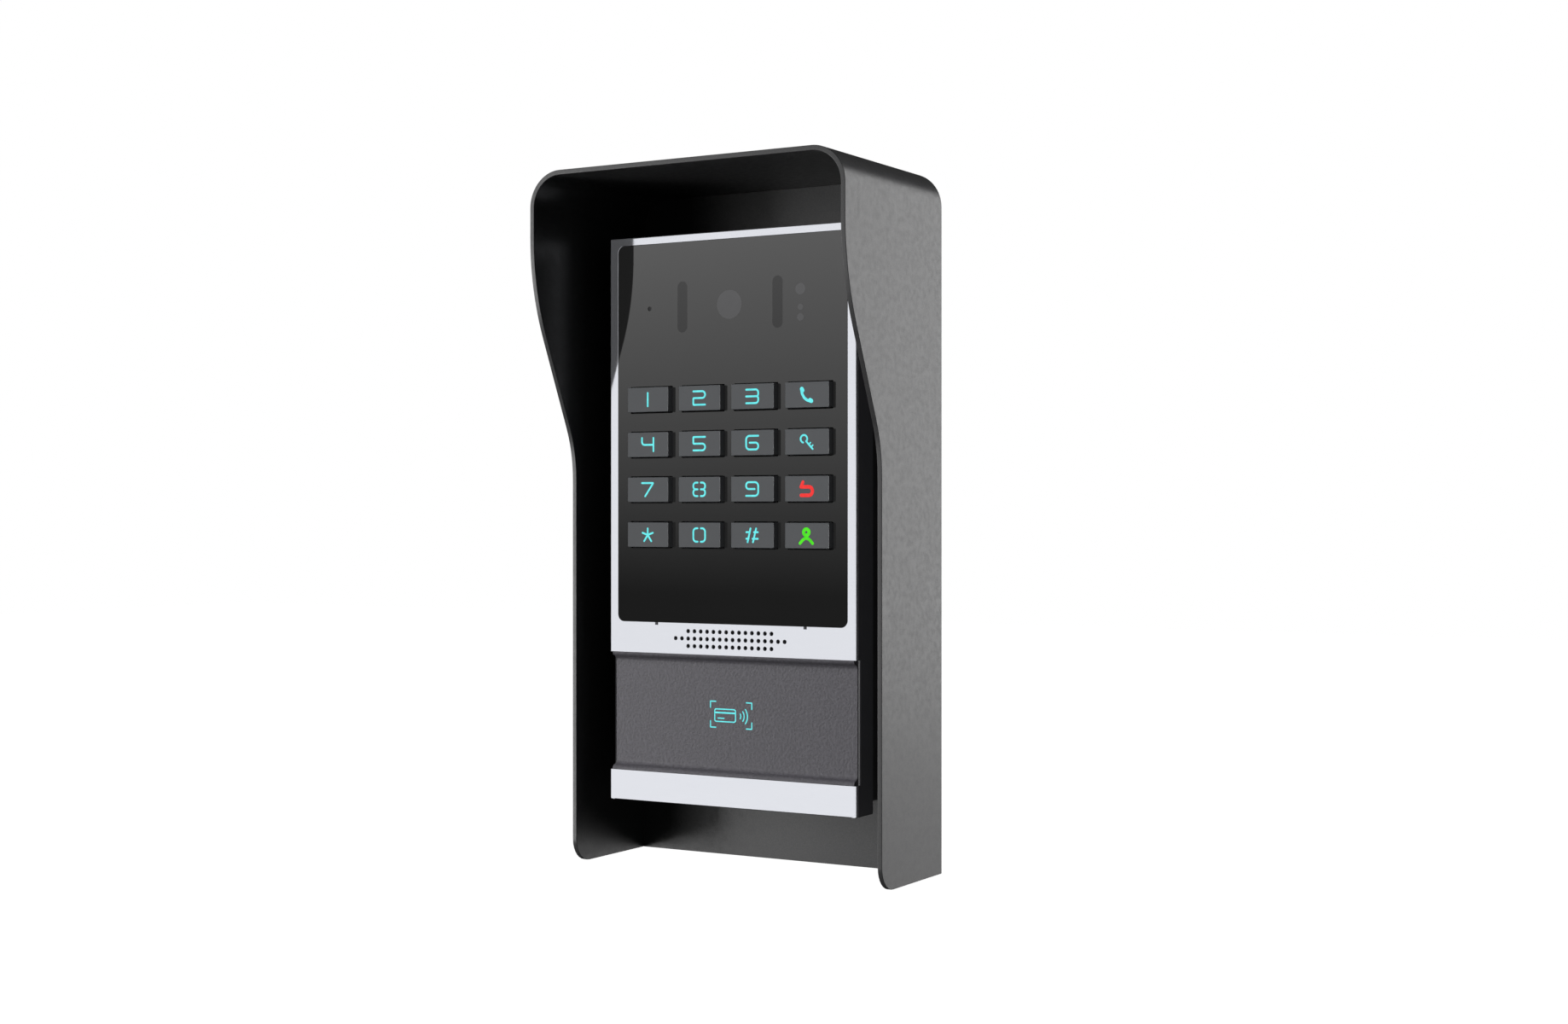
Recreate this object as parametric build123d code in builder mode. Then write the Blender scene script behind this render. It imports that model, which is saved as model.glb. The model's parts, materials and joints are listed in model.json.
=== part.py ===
from build123d import *
import math
import os

# Door intercom panel under a sheet-metal rain hood.
# Origin: centre of the four wall holes, on the wall. +X is the visitor's right, +Z is up and
# -Y points out of the wall. A "depth" is a distance out from the wall, so depth = -Y.

os.makedirs("parts", exist_ok=True)

# ---------------------------------------------------------------- driving dimensions (mm)

# Panel outline, seen from the front
panel_width = 120.0
panel_height = 240.0
panel_corner = 0.8
bezel_head = 3.4              # metal above the glass
bezel_side = 4.2              # panel edge to glass edge
trim_height = 12.9            # lower metal strip
card_height = 50.4            # recessed card reader area
speaker_strip_height = 13.2   # metal strip with the speaker holes

# Hood around the panel
sheet = 2.0
hood_side_gap = 13.0          # panel side to hood wall
hood_head_gap = 22.9          # panel top to hood ceiling
panel_lift = 27.6             # panel bottom above the hood's lower edge
visor_reach = 37.0            # hood top beyond the panel face
skirt_reach = 6.7             # hood sides beyond the panel face, low down
hood_corner_radius = 15.0
hood_foot_radius = 10.0
visor_drop = 49.0             # hood top to the upper bend of the side's front edge
skirt_drop = 116.4            # hood top to the lower bend of the side's front edge
visor_bend_radius = 100.0
skirt_bend_radius = 54.0

# Depth stack, from the wall out
bracket_sheet = 1.5
hang_gap = 3.0                # bracket to rear housing
rear_housing_depth = 26.4
front_body_depth = 14.1
plate_thickness = 1.5
glass_thickness = 2.0
front_wall = 2.5              # front cover behind the metal plates
card_recess = 3.0             # card area below the panel face
card_cover_thickness = 2.0
card_floor_thickness = 2.5

# Housings
skirt_wall = 2.5
rear_wall = 2.2
rear_side_inset = 5.0         # rear housing narrower than the panel, each side
rear_end_inset = 3.6          # rear housing shorter than the panel, each end
flange_thickness = 2.5
flange_setback = 0.3          # flange behind the skirt's back edge
gasket_thickness = 1.2
gasket_width = 3.0
fit_gap = 0.2                 # between housings
plate_gap = 0.1               # round the glass and the card cover
plate_inset = 0.1             # metal plates inside the panel outline
glass_corner = 3.0
plate_corner = 0.5
card_rim = 1.1                # front cover edge either side of the card cover

# Keypad: 4 columns by 4 rows on the standard telephone pitch
key_pitch_x = 25.8
key_pitch_z = 19.05
key_width = 20.5
key_height = 10.5
key_proud = 3.0               # key face beyond the glass
key_gap = 0.45                # clearance round each key
key_travel = 1.0
key_corner = 0.4
key_flange = 1.0              # flange beyond the cap, each side
key_flange_thickness = 1.2
key_stem_radius = 2.5
keypad_drop = 66.0            # glass top to the first row's centre

# Features behind the glass
camera_drop = 27.3            # glass top to camera axis
camera_radius = 6.0
light_bar_width = 4.85
light_bar_height = 21.5
light_bar_offset = 23.2
microphone_offset = 39.7
microphone_hole_radius = 0.9
sensor_offset = 34.0
sensor_spots = [(4.7, 2.3), (-2.65, 1.25), (-6.8, 1.55)]   # height from the camera axis, radius

# Speaker grille
grille_pitch = 3.125
grille_hole_radius = 0.85
grille_long_row = 18
grille_short_row = 14

# Wall fixing and hanging
wall_hole_spacing_x = 60.0
wall_hole_spacing_z = 160.0
wall_hole_radius = 2.6
cable_hole_radius = 14.0
cable_drop = 76.0             # cable hole below the wall pattern's centre
bracket_width = 84.0
bracket_head = 24.0           # bracket above the upper wall holes
hook_spacing_x = 68.0
hook_spacing_z = 110.0
hook_width = 8.0
hook_stem = 1.5
hook_lip = 4.0
lock_flange_depth = 20.0
lock_screw_spacing = 50.0

# Boards and what stands on them
board_thickness = 1.6
key_board_room = 8.4          # key board's back behind the front wall
camera_board_room = 5.0       # camera board's back behind the front wall
jack_width = 16.0
jack_height = 18.0
jack_depth = 13.2
jack_gap = 2.1                # network jack to the rear wall
case_split_setback = 2.7      # rear bosses meet the front bosses behind the skirt's back edge
case_ledge = 6.2              # boss floor under a case screw's head
case_screw_grip = 4.8         # case screw's reach into the front boss
small_screw_radius = 1.0
speaker_depth = 8.0
speaker_basket = 3.6          # back of the speaker frame to its cone
magnet_depth = 7.6
dome_height = 0.5
key_rest_gap = 0.3            # key stem to dome, beyond the travel

# Clearances and small edges
thread_gap = 0.05             # shank to the wall of its threaded hole
screw_hole_gap = 0.15         # shank to the wall of a clear hole
head_gap = 0.2                # screw head to its counterbore
tip_gap = 0.2                 # screw tip to the end of its way
slide_gap = 0.2               # small gap between pieces that slide or stop on each other
bracket_corner = 3.0
bracket_hole_gap = 0.4        # bracket holes larger than the hood's
bracket_cable_gap = 2.0
housing_corner = 2.0
board_corner = 2.0
board_edge = 5.0              # standoff centre in from the board's edge

# ---------------------------------------------------------------- derived positions

panel_depth = sheet + bracket_sheet + hang_gap + rear_housing_depth + front_body_depth
hood_width = panel_width + 2 * (hood_side_gap + sheet)
hood_height = panel_lift + panel_height + hood_head_gap + sheet
hood_depth = panel_depth + visor_reach
skirt_depth = panel_depth + skirt_reach

hood_bottom = -hood_height / 2
hood_top = hood_height / 2
panel_bottom = hood_bottom + panel_lift
panel_top = panel_bottom + panel_height
panel_middle = (panel_bottom + panel_top) / 2
trim_top = panel_bottom + trim_height
card_top = trim_top + card_height
card_middle = (trim_top + card_top) / 2
glass_bottom = card_top + speaker_strip_height
glass_top = panel_top - bezel_head
glass_width = panel_width - 2 * bezel_side
glass_height = glass_top - glass_bottom
glass_middle = (glass_top + glass_bottom) / 2
speaker_line = (card_top + glass_bottom) / 2
keypad_middle = glass_top - keypad_drop - 1.5 * key_pitch_z
camera_height = glass_top - camera_drop

bracket_front = sheet + bracket_sheet
rear_back = bracket_front + hang_gap
skirt_back = rear_back + rear_housing_depth
plate_back = panel_depth - plate_thickness
wall_inside = plate_back - front_wall
glass_back = panel_depth - glass_thickness
flange_back = skirt_back + flange_setback
flange_front = flange_back + flange_thickness
gasket_front = flange_front + gasket_thickness
card_face = panel_depth - card_recess
card_seat = card_face - card_cover_thickness
card_floor = card_seat - card_floor_thickness
key_face = panel_depth + key_proud
main_board_depth = rear_back + rear_wall + jack_gap + jack_depth
main_board_front = main_board_depth + board_thickness
key_board_depth = wall_inside - key_board_room
key_board_front = key_board_depth + board_thickness
camera_board_depth = wall_inside - camera_board_room
camera_board_front = camera_board_depth + board_thickness
case_split = skirt_back - case_split_setback
case_screw_seat = case_split - case_ledge

skirt_inside_width = panel_width - 2 * skirt_wall
skirt_inside_height = panel_height - 2 * skirt_wall
rear_width = panel_width - 2 * rear_side_inset
rear_height = panel_height - 2 * rear_end_inset
rear_bottom = panel_middle - rear_height / 2
plate_width = panel_width - 2 * plate_inset
card_width = panel_width - 2 * card_rim

# Screw sizes: shank radius, head radius, head height
M4 = (2.0, 3.6, 2.2)
M3 = (1.5, 2.8, 2.0)
M2 = (small_screw_radius, 1.9, 1.3)

# ---------------------------------------------------------------- helpers


def out(depth):
    """Upright plane at a depth from the wall, facing the visitor."""
    return Plane.XZ.offset(depth)


def save(piece, name):
    """Label a finished piece and write its file."""
    piece.part.label = name
    export_step(piece.part, f"parts/{name}.step")


def lathe(spot):
    """Half-section plane for a turned piece: x is the radius at that spot, y is the depth."""
    return Plane(origin=(spot[0], 0, spot[1]), x_dir=(1, 0, 0), z_dir=(0, 0, -1))


def spindle(spot):
    """Axis of a turned piece, out of the wall."""
    return Axis((spot[0], 0, spot[1]), (0, -1, 0))


def arch(width, height, radius):
    """Rectangle standing on the hood's lower edge, its two upper corners rounded."""
    with BuildSketch() as shape:
        with Locations((0, hood_bottom)):
            Rectangle(width, height, align=(Align.CENTER, Align.MIN))
        fillet(shape.vertices().group_by(Axis.Y)[-1], radius)
    return shape.sketch


def screws(name, spots, seat, head_side, size, length):
    """Pan-head screws with a cross recess; head_side is 1 to the visitor, -1 to the wall."""
    shank_radius, head_radius, head_height = size
    with BuildPart() as group:
        with BuildSketch(out(seat)):
            with Locations(*spots):
                Circle(head_radius)
        extrude(amount=head_side * head_height)
        with BuildSketch(out(seat)):
            with Locations(*spots):
                Circle(shank_radius)
        extrude(amount=-head_side * length)
        with BuildSketch(out(seat + head_side * head_height)):
            with Locations(*spots):
                Rectangle(head_radius, head_radius / 4)
                Rectangle(head_radius / 4, head_radius)
        extrude(amount=-head_side * head_height / 2, mode=Mode.SUBTRACT)
    save(group, name)


# ---------------------------------------------------------------- layout of repeated features

wall_holes = [
    (x, z)
    for x in (-wall_hole_spacing_x / 2, wall_hole_spacing_x / 2)
    for z in (-wall_hole_spacing_z / 2, wall_hole_spacing_z / 2)
]
bracket_edge_offset = 10.0
bracket_top = wall_hole_spacing_z / 2 + bracket_head
bracket_screw_x = bracket_width / 2 - bracket_edge_offset
bracket_screw_spots = [
    (x, z)
    for x in (-bracket_screw_x, bracket_screw_x)
    for z in (bracket_top - bracket_edge_offset, rear_bottom + bracket_edge_offset)
]
hook_spots = [
    (x, z)
    for x in (-hook_spacing_x / 2, hook_spacing_x / 2)
    for z in (-hook_spacing_z / 2, hook_spacing_z / 2)
]
lock_screw_x = (-lock_screw_spacing / 2, lock_screw_spacing / 2)
cable_spot = (0, -cable_drop)
tamper_rise = 30.0            # tamper switch above the wall pattern's centre
tamper_spot = (0, tamper_rise)

boss_radius = 3.5
boss_wall_gap = 0.8
boss_drop = 13.0              # upper bosses below the panel's top
boss_below_keys = 13.7        # middle bosses below the last row of keys
boss_above_trim = 9.5         # lower bosses above the lower metal strip
boss_x = rear_width / 2 - rear_wall - boss_radius - boss_wall_gap
keys_foot = keypad_middle - 1.5 * key_pitch_z - key_height / 2
keys_head = keypad_middle + 1.5 * key_pitch_z + key_height / 2
case_boss_upper = [
    (x, z)
    for x in (-boss_x, boss_x)
    for z in (panel_top - boss_drop, keys_foot - boss_below_keys)
]
case_boss_lower = [(x, trim_top + boss_above_trim) for x in (-boss_x, boss_x)]

key_spots = {}
key_names = [
    ["key_1", "key_2", "key_3", "key_call"],
    ["key_4", "key_5", "key_6", "key_unlock"],
    ["key_7", "key_8", "key_9", "key_back"],
    ["key_star", "key_0", "key_hash", "key_contact"],
]
for row, names in enumerate(key_names):
    for column, name in enumerate(names):
        key_x = (column - 1.5) * key_pitch_x
        key_z = keypad_middle + (1.5 - row) * key_pitch_z
        key_spots[name] = (key_x, key_z)
all_keys = list(key_spots.values())

post_radius = 2.25
key_post_spots = [
    (x, keypad_middle + z)
    for x in (-key_pitch_x, key_pitch_x)
    for z in (-key_pitch_z, key_pitch_z)
]
camera_post_x = 14.2
camera_post_z = 11.5
camera_post_spots = [
    (x, camera_height + z)
    for x in (-camera_post_x, camera_post_x)
    for z in (-camera_post_z, camera_post_z)
]
light_bar_spots = [(-light_bar_offset, camera_height), (light_bar_offset, camera_height)]
microphone_spot = (-microphone_offset, camera_height)
camera_spot = (0, camera_height)

boss_board_gap = 1.0
main_board_end_gap = 22.0     # main board shorter than the rear housing, each end
main_board_width = 2 * (boss_x - boss_radius - boss_board_gap)
main_board_height = rear_height - 2 * main_board_end_gap
standoff_radius = 3.0
standoff_pilot = 8.0
standoff_x = main_board_width / 2 - board_edge
standoff_z = main_board_height / 2 - board_edge
standoff_spots = [
    (x, panel_middle + z)
    for x in (-standoff_x, standoff_x)
    for z in (-standoff_z, standoff_z)
]

speaker_width = 62.0
speaker_height = 28.0
speaker_rim = 1.0
speaker_corner = 3.0
card_tray_wall = 1.5
speaker_bottom = card_top + card_tray_wall + plate_gap
speaker_middle = speaker_bottom + speaker_height / 2
speaker_slot_margin = 0.2     # slot beyond the outer holes, above and below
speaker_slot_height = 2 * (grille_pitch + grille_hole_radius + speaker_slot_margin)
speaker_slot_width = grille_long_row * grille_pitch + 1.0

card_window_width = main_board_width
card_window_margin = 5.6      # card window shorter than the card area, each end
card_window_height = card_height - 2 * card_window_margin
card_window_gap = 1.0
card_window_corner = 2.0

# ---------------------------------------------------------------- hood

# Side outline: deep at the top, sweeping in to a shallower straight skirt.
outer_arch = arch(hood_width, hood_height, hood_corner_radius)
inner_arch = arch(hood_width - 2 * sheet, hood_height - sheet, hood_corner_radius - sheet)

with BuildPart() as hood_shell:
    with BuildSketch(out(0)):
        add(outer_arch)
        add(inner_arch, mode=Mode.SUBTRACT)
    extrude(amount=hood_depth)
    with BuildSketch(Plane.YZ.offset(-hood_width / 2)):
        with BuildLine():
            front_edge = FilletPolyline(
                (0, hood_bottom),
                (-skirt_depth, hood_bottom),
                (-skirt_depth, hood_top - skirt_drop),
                (-hood_depth, hood_top - visor_drop),
                (-hood_depth, hood_top),
                radius=[hood_foot_radius, skirt_bend_radius, visor_bend_radius],
            )
            Polyline(front_edge @ 1, (0, hood_top), front_edge @ 0)
        make_face()
    extrude(amount=hood_width, mode=Mode.INTERSECT)
save(hood_shell, "hood_shell")

with BuildPart() as hood_back_plate:
    with BuildSketch(out(0)):
        add(inner_arch)
        with Locations(*wall_holes):
            Circle(wall_hole_radius, mode=Mode.SUBTRACT)
        with Locations(*bracket_screw_spots):
            Circle(M4[0] + thread_gap, mode=Mode.SUBTRACT)
        with Locations(cable_spot):
            Circle(cable_hole_radius, mode=Mode.SUBTRACT)
    extrude(amount=sheet)
save(hood_back_plate, "hood_back_plate")

# ---------------------------------------------------------------- wall bracket

hook_lip_gap = 0.6            # hook lip to the rear housing's wall
hook_reach = hang_gap + rear_wall + hook_lip_gap
lock_gap = 0.4                # lock flange below the rear housing
bracket_foot = rear_bottom - lock_gap - bracket_sheet
lock_spots = [(x, -sheet - lock_flange_depth / 2) for x in lock_screw_x]
lock_grip = 7.0               # lock screw's reach into the rear housing
lock_pilot = lock_grip + 1.0
lock_block_height = lock_pilot + 1.0
lock_socket_radius = 1.2      # hexagon socket, centre to corner
lock_socket_depth = 1.4

with BuildPart() as wall_bracket:
    with BuildSketch(out(sheet)):
        with Locations((0, (bracket_top + bracket_foot) / 2)):
            RectangleRounded(bracket_width, bracket_top - bracket_foot, bracket_corner)
        with Locations(*wall_holes):
            Circle(wall_hole_radius + bracket_hole_gap, mode=Mode.SUBTRACT)
        with Locations(*bracket_screw_spots):
            Circle(M4[0] + screw_hole_gap, mode=Mode.SUBTRACT)
        with Locations(cable_spot):
            Circle(cable_hole_radius + bracket_cable_gap, mode=Mode.SUBTRACT)
    extrude(amount=bracket_sheet)
    # Hook stems stand out of the bracket, each with a lip that points up behind the housing wall.
    with BuildSketch(out(bracket_front)):
        with Locations(*hook_spots):
            Rectangle(hook_width, hook_stem, align=(Align.CENTER, Align.MAX))
    extrude(amount=hook_reach + bracket_sheet)
    with BuildSketch(out(bracket_front + hook_reach)):
        with Locations(*[(x, z - hook_stem) for x, z in hook_spots]):
            Rectangle(hook_width, hook_lip + hook_stem, align=(Align.CENTER, Align.MIN))
    extrude(amount=bracket_sheet)
    # Folded foot that takes the locking screws from below.
    with BuildSketch(Plane.XY.offset(bracket_foot)):
        with Locations((0, -sheet)):
            Rectangle(bracket_width, lock_flange_depth, align=(Align.CENTER, Align.MAX))
        with Locations(*lock_spots):
            Circle(M3[0] + screw_hole_gap, mode=Mode.SUBTRACT)
    extrude(amount=bracket_sheet)
save(wall_bracket, "wall_bracket")

screws("bracket_screws", bracket_screw_spots, bracket_front, 1, M4, bracket_front - tip_gap)

# ---------------------------------------------------------------- rear housing

hook_slot_width = hook_width + 1.0
hook_slot_height = hook_stem + hook_lip + 1.5
grommet_radius = cable_hole_radius - 3.0
plunger_radius = 2.0
plunger_clearance = 0.4

with BuildPart() as rear_housing:
    with BuildSketch(out(rear_back)):
        with Locations((0, panel_middle)):
            RectangleRounded(rear_width, rear_height, housing_corner)
    extrude(amount=flange_back - rear_back)
    with BuildSketch(out(flange_back)):
        with Locations((0, panel_middle)):
            Rectangle(skirt_inside_width - 2 * fit_gap, skirt_inside_height - 2 * fit_gap)
    extrude(amount=flange_thickness)
    with BuildSketch(out(rear_back + rear_wall)):
        with Locations((0, panel_middle)):
            RectangleRounded(
                rear_width - 2 * rear_wall, rear_height - 2 * rear_wall, housing_corner / 2
            )
    extrude(amount=flange_front - rear_back, mode=Mode.SUBTRACT)
    # Case screw bosses and main board standoffs.
    with BuildSketch(out(rear_back)):
        with Locations(*case_boss_upper, *case_boss_lower):
            Circle(boss_radius)
    extrude(amount=case_split - rear_back)
    with BuildSketch(out(rear_back)):
        with Locations(*standoff_spots):
            Circle(standoff_radius)
    extrude(amount=main_board_depth - rear_back)
    with BuildSketch(out(rear_back)):
        with Locations(*case_boss_upper, *case_boss_lower):
            Circle(M3[1] + head_gap)
    extrude(amount=case_screw_seat - rear_back, mode=Mode.SUBTRACT)
    with BuildSketch(out(case_screw_seat)):
        with Locations(*case_boss_upper, *case_boss_lower):
            Circle(M3[0] + screw_hole_gap)
    extrude(amount=case_split - case_screw_seat, mode=Mode.SUBTRACT)
    with BuildSketch(out(main_board_depth)):
        with Locations(*standoff_spots):
            Circle(small_screw_radius + thread_gap)
    extrude(amount=-standoff_pilot, mode=Mode.SUBTRACT)
    # Hook slots: the top edge of each slot rests on a hook stem.
    with BuildSketch(out(rear_back)):
        with Locations(*hook_spots):
            Rectangle(hook_slot_width, hook_slot_height, align=(Align.CENTER, Align.MAX))
        with Locations(cable_spot):
            Circle(grommet_radius)
        with Locations(tamper_spot):
            Circle(plunger_radius + plunger_clearance)
    extrude(amount=rear_wall, mode=Mode.SUBTRACT)
    # Blocks over the lock screws in the housing's lower wall.
    with BuildSketch(Plane.XY.offset(rear_bottom)):
        with Locations(*lock_spots):
            Circle(boss_radius)
    extrude(amount=lock_block_height)
    with BuildSketch(Plane.XY.offset(rear_bottom)):
        with Locations(*lock_spots):
            Circle(M3[0] + thread_gap)
    extrude(amount=lock_pilot, mode=Mode.SUBTRACT)
save(rear_housing, "rear_housing")

with BuildPart() as lock_screws:
    with BuildSketch(Plane.XY.offset(bracket_foot)):
        with Locations(*lock_spots):
            Circle(M3[1])
    extrude(amount=-M3[2])
    with BuildSketch(Plane.XY.offset(bracket_foot)):
        with Locations(*lock_spots):
            Circle(M3[0])
    extrude(amount=bracket_sheet + lock_gap + lock_grip)
    with BuildSketch(Plane.XY.offset(bracket_foot - M3[2])):
        with Locations(*lock_spots):
            RegularPolygon(lock_socket_radius, 6)
    extrude(amount=lock_socket_depth, mode=Mode.SUBTRACT)
save(lock_screws, "lock_screws")

screws(
    "case_screws", case_boss_upper + case_boss_lower, case_screw_seat, -1, M3,
    case_ledge + case_screw_grip,
)

grommet_bead = 1.2
grommet_lip = 1.6
grommet_cone = 4.0            # cone beyond the wall, towards the inside
cable_radius = 3.0
cone_shoulder = cable_radius + 3.0
cone_tip = cable_radius + 1.6
grommet_seat = rear_back + rear_wall

with BuildPart() as cable_grommet:
    with BuildSketch(lathe(cable_spot)):
        with BuildLine():
            Polyline(
                (cable_radius, rear_back - grommet_bead),
                (grommet_radius + grommet_lip, rear_back - grommet_bead),
                (grommet_radius + grommet_lip, rear_back),
                (grommet_radius, rear_back),
                (grommet_radius, grommet_seat),
                (grommet_radius + grommet_lip, grommet_seat),
                (grommet_radius, grommet_seat + grommet_bead),
                (cone_shoulder, grommet_seat + grommet_bead),
                (cone_tip, grommet_seat + grommet_cone),
                (cable_radius, grommet_seat + grommet_cone),
                close=True,
            )
        make_face()
    revolve(axis=spindle(cable_spot))
save(cable_grommet, "cable_grommet")

# ---------------------------------------------------------------- front cover

cavity_width = skirt_inside_width - 2 * gasket_width
cavity_height = skirt_inside_height - 2 * gasket_width
case_pilot = 9.0              # screw pilot holes into the front cover's bosses and posts
key_post_pilot = 4.5
camera_post_pilot = 3.0
key_post_grip = 4.0
camera_post_grip = 2.5
rim_fillet = 0.9 * card_rim   # just inside the rim's own width
hair = 0.01                   # tolerance for picking edges by place

with BuildPart() as front_cover:
    with BuildSketch(out(skirt_back)):
        with Locations((0, panel_middle)):
            RectangleRounded(panel_width, panel_height, panel_corner)
    extrude(amount=plate_back - skirt_back)
    # Skirt over the rear housing's flange, then the cavity behind the front wall.
    with BuildSketch(out(skirt_back)):
        with Locations((0, panel_middle)):
            Rectangle(skirt_inside_width, skirt_inside_height)
    extrude(amount=gasket_front - skirt_back, mode=Mode.SUBTRACT)
    with BuildSketch(out(gasket_front)):
        with Locations((0, panel_middle)):
            Rectangle(cavity_width, cavity_height)
    extrude(amount=wall_inside - gasket_front, mode=Mode.SUBTRACT)
    # Tray behind the card reader area, open to the panel's sides at the front.
    with BuildSketch(out(card_floor)):
        with Locations((0, card_middle)):
            Rectangle(skirt_inside_width, card_height + 2 * card_tray_wall)
    extrude(amount=wall_inside - card_floor)
    with BuildSketch(out(card_seat)):
        with Locations((0, card_middle)):
            Rectangle(card_width + 2 * plate_gap, card_height)
    extrude(amount=plate_back - card_seat, mode=Mode.SUBTRACT)
    with BuildSketch(out(card_face)):
        with Locations((0, card_middle)):
            Rectangle(panel_width, card_height)
    extrude(amount=plate_back - card_face, mode=Mode.SUBTRACT)
    rim_edges = (
        front_cover.edges()
        .filter_by(Axis.Z)
        .filter_by_position(Axis.Y, -card_face - hair, -card_face + hair)
        .filter_by(lambda edge: abs(abs(edge.center().X) - panel_width / 2) < hair)
    )
    fillet(rim_edges, rim_fillet)
    with BuildSketch(out(card_floor)):
        with Locations((0, card_middle)):
            RectangleRounded(card_window_width, card_window_height, card_window_corner)
    extrude(amount=card_seat - card_floor, mode=Mode.SUBTRACT)
    # Case bosses and the posts that carry the key and camera boards.
    with BuildSketch(out(case_split)):
        with Locations(*case_boss_upper):
            Circle(boss_radius)
    extrude(amount=wall_inside - case_split)
    with BuildSketch(out(case_split)):
        with Locations(*case_boss_lower):
            Circle(boss_radius)
    extrude(amount=card_floor - case_split)
    with BuildSketch(out(key_board_front)):
        with Locations(*key_post_spots):
            Circle(post_radius)
    extrude(amount=wall_inside - key_board_front)
    with BuildSketch(out(camera_board_front)):
        with Locations(*camera_post_spots):
            Circle(post_radius)
    extrude(amount=wall_inside - camera_board_front)
    with BuildSketch(out(case_split)):
        with Locations(*case_boss_upper, *case_boss_lower):
            Circle(M3[0] + thread_gap)
    extrude(amount=case_pilot, mode=Mode.SUBTRACT)
    with BuildSketch(out(key_board_front)):
        with Locations(*key_post_spots):
            Circle(small_screw_radius + thread_gap)
    extrude(amount=key_post_pilot, mode=Mode.SUBTRACT)
    with BuildSketch(out(camera_board_front)):
        with Locations(*camera_post_spots):
            Circle(small_screw_radius + thread_gap)
    extrude(amount=camera_post_pilot, mode=Mode.SUBTRACT)
    # Glass pocket, and everything that passes the front wall.
    with BuildSketch(out(glass_back)):
        with Locations((0, glass_middle)):
            RectangleRounded(
                glass_width + 2 * plate_gap, glass_height + 2 * plate_gap, glass_corner
            )
    extrude(amount=plate_back - glass_back, mode=Mode.SUBTRACT)
    with BuildSketch(out(wall_inside)):
        with Locations(*all_keys):
            RectangleRounded(key_width + 2 * key_gap, key_height + 2 * key_gap, key_corner)
        with Locations(*light_bar_spots):
            SlotOverall(
                light_bar_height + 2 * plate_gap, light_bar_width + 2 * plate_gap, rotation=90
            )
        with Locations(camera_spot):
            Circle(camera_radius)
        with Locations(microphone_spot):
            Circle(microphone_hole_radius)
        for rise, radius in sensor_spots:
            with Locations((sensor_offset, camera_height + rise)):
                Circle(radius + plate_gap)
        with Locations((0, speaker_line)):
            SlotOverall(speaker_slot_width, speaker_slot_height)
    extrude(amount=front_wall, mode=Mode.SUBTRACT)
save(front_cover, "front_cover")

with BuildPart() as seal_gasket:
    with BuildSketch(out(flange_front)):
        with Locations((0, panel_middle)):
            Rectangle(skirt_inside_width - 2 * fit_gap, skirt_inside_height - 2 * fit_gap)
            Rectangle(cavity_width, cavity_height, mode=Mode.SUBTRACT)
    extrude(amount=gasket_thickness)
save(seal_gasket, "seal_gasket")

# ---------------------------------------------------------------- face of the panel


def grille_row(count, height):
    """Speaker hole centres in one row."""
    return [((index - (count - 1) / 2) * grille_pitch, height) for index in range(count)]


grille_spots = (
    grille_row(grille_short_row, speaker_line + grille_pitch)
    + grille_row(grille_long_row, speaker_line)
    + grille_row(grille_short_row, speaker_line - grille_pitch)
)
release_notch_x = (-36.2, 36.2)
release_notch_width = 1.4
release_notch_depth = 1.2
bezel_height = panel_top - plate_inset - card_top

with BuildPart() as bezel_plate:
    with BuildSketch(out(plate_back)) as bezel_face:
        with Locations((0, card_top + bezel_height / 2)):
            Rectangle(plate_width, bezel_height)
        fillet(bezel_face.vertices().group_by(Axis.Y)[-1], plate_corner)
        with Locations((0, glass_middle)):
            RectangleRounded(
                glass_width + 2 * plate_gap,
                glass_height + 2 * plate_gap,
                glass_corner + plate_gap,
                mode=Mode.SUBTRACT,
            )
        with Locations(*[(x, glass_bottom) for x in release_notch_x]):
            Rectangle(release_notch_width, 2 * release_notch_depth, mode=Mode.SUBTRACT)
        with Locations(*grille_spots):
            Circle(grille_hole_radius, mode=Mode.SUBTRACT)
    extrude(amount=plate_thickness)
save(bezel_plate, "bezel_plate")

with BuildPart() as trim_plate:
    with BuildSketch(out(plate_back)) as trim_face:
        with Locations((0, (panel_bottom + plate_inset + trim_top) / 2)):
            Rectangle(plate_width, trim_top - panel_bottom - plate_inset)
        fillet(trim_face.vertices().group_by(Axis.Y)[0], plate_corner)
    extrude(amount=plate_thickness)
save(trim_plate, "trim_plate")

with BuildPart() as glass_window:
    with BuildSketch(out(glass_back)):
        with Locations((0, glass_middle)):
            RectangleRounded(glass_width, glass_height, glass_corner)
        with Locations(*all_keys):
            RectangleRounded(
                key_width + 2 * key_gap,
                key_height + 2 * key_gap,
                key_corner + key_gap,
                mode=Mode.SUBTRACT,
            )
        with Locations(microphone_spot):
            Circle(microphone_hole_radius, mode=Mode.SUBTRACT)
    extrude(amount=glass_thickness)
save(glass_window, "glass_window")

# The card cover dips below the panel face through an S-shaped ramp at its top and bottom.
ramp_run = 3.9
ramp_middle = (panel_depth + card_face) / 2

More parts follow.
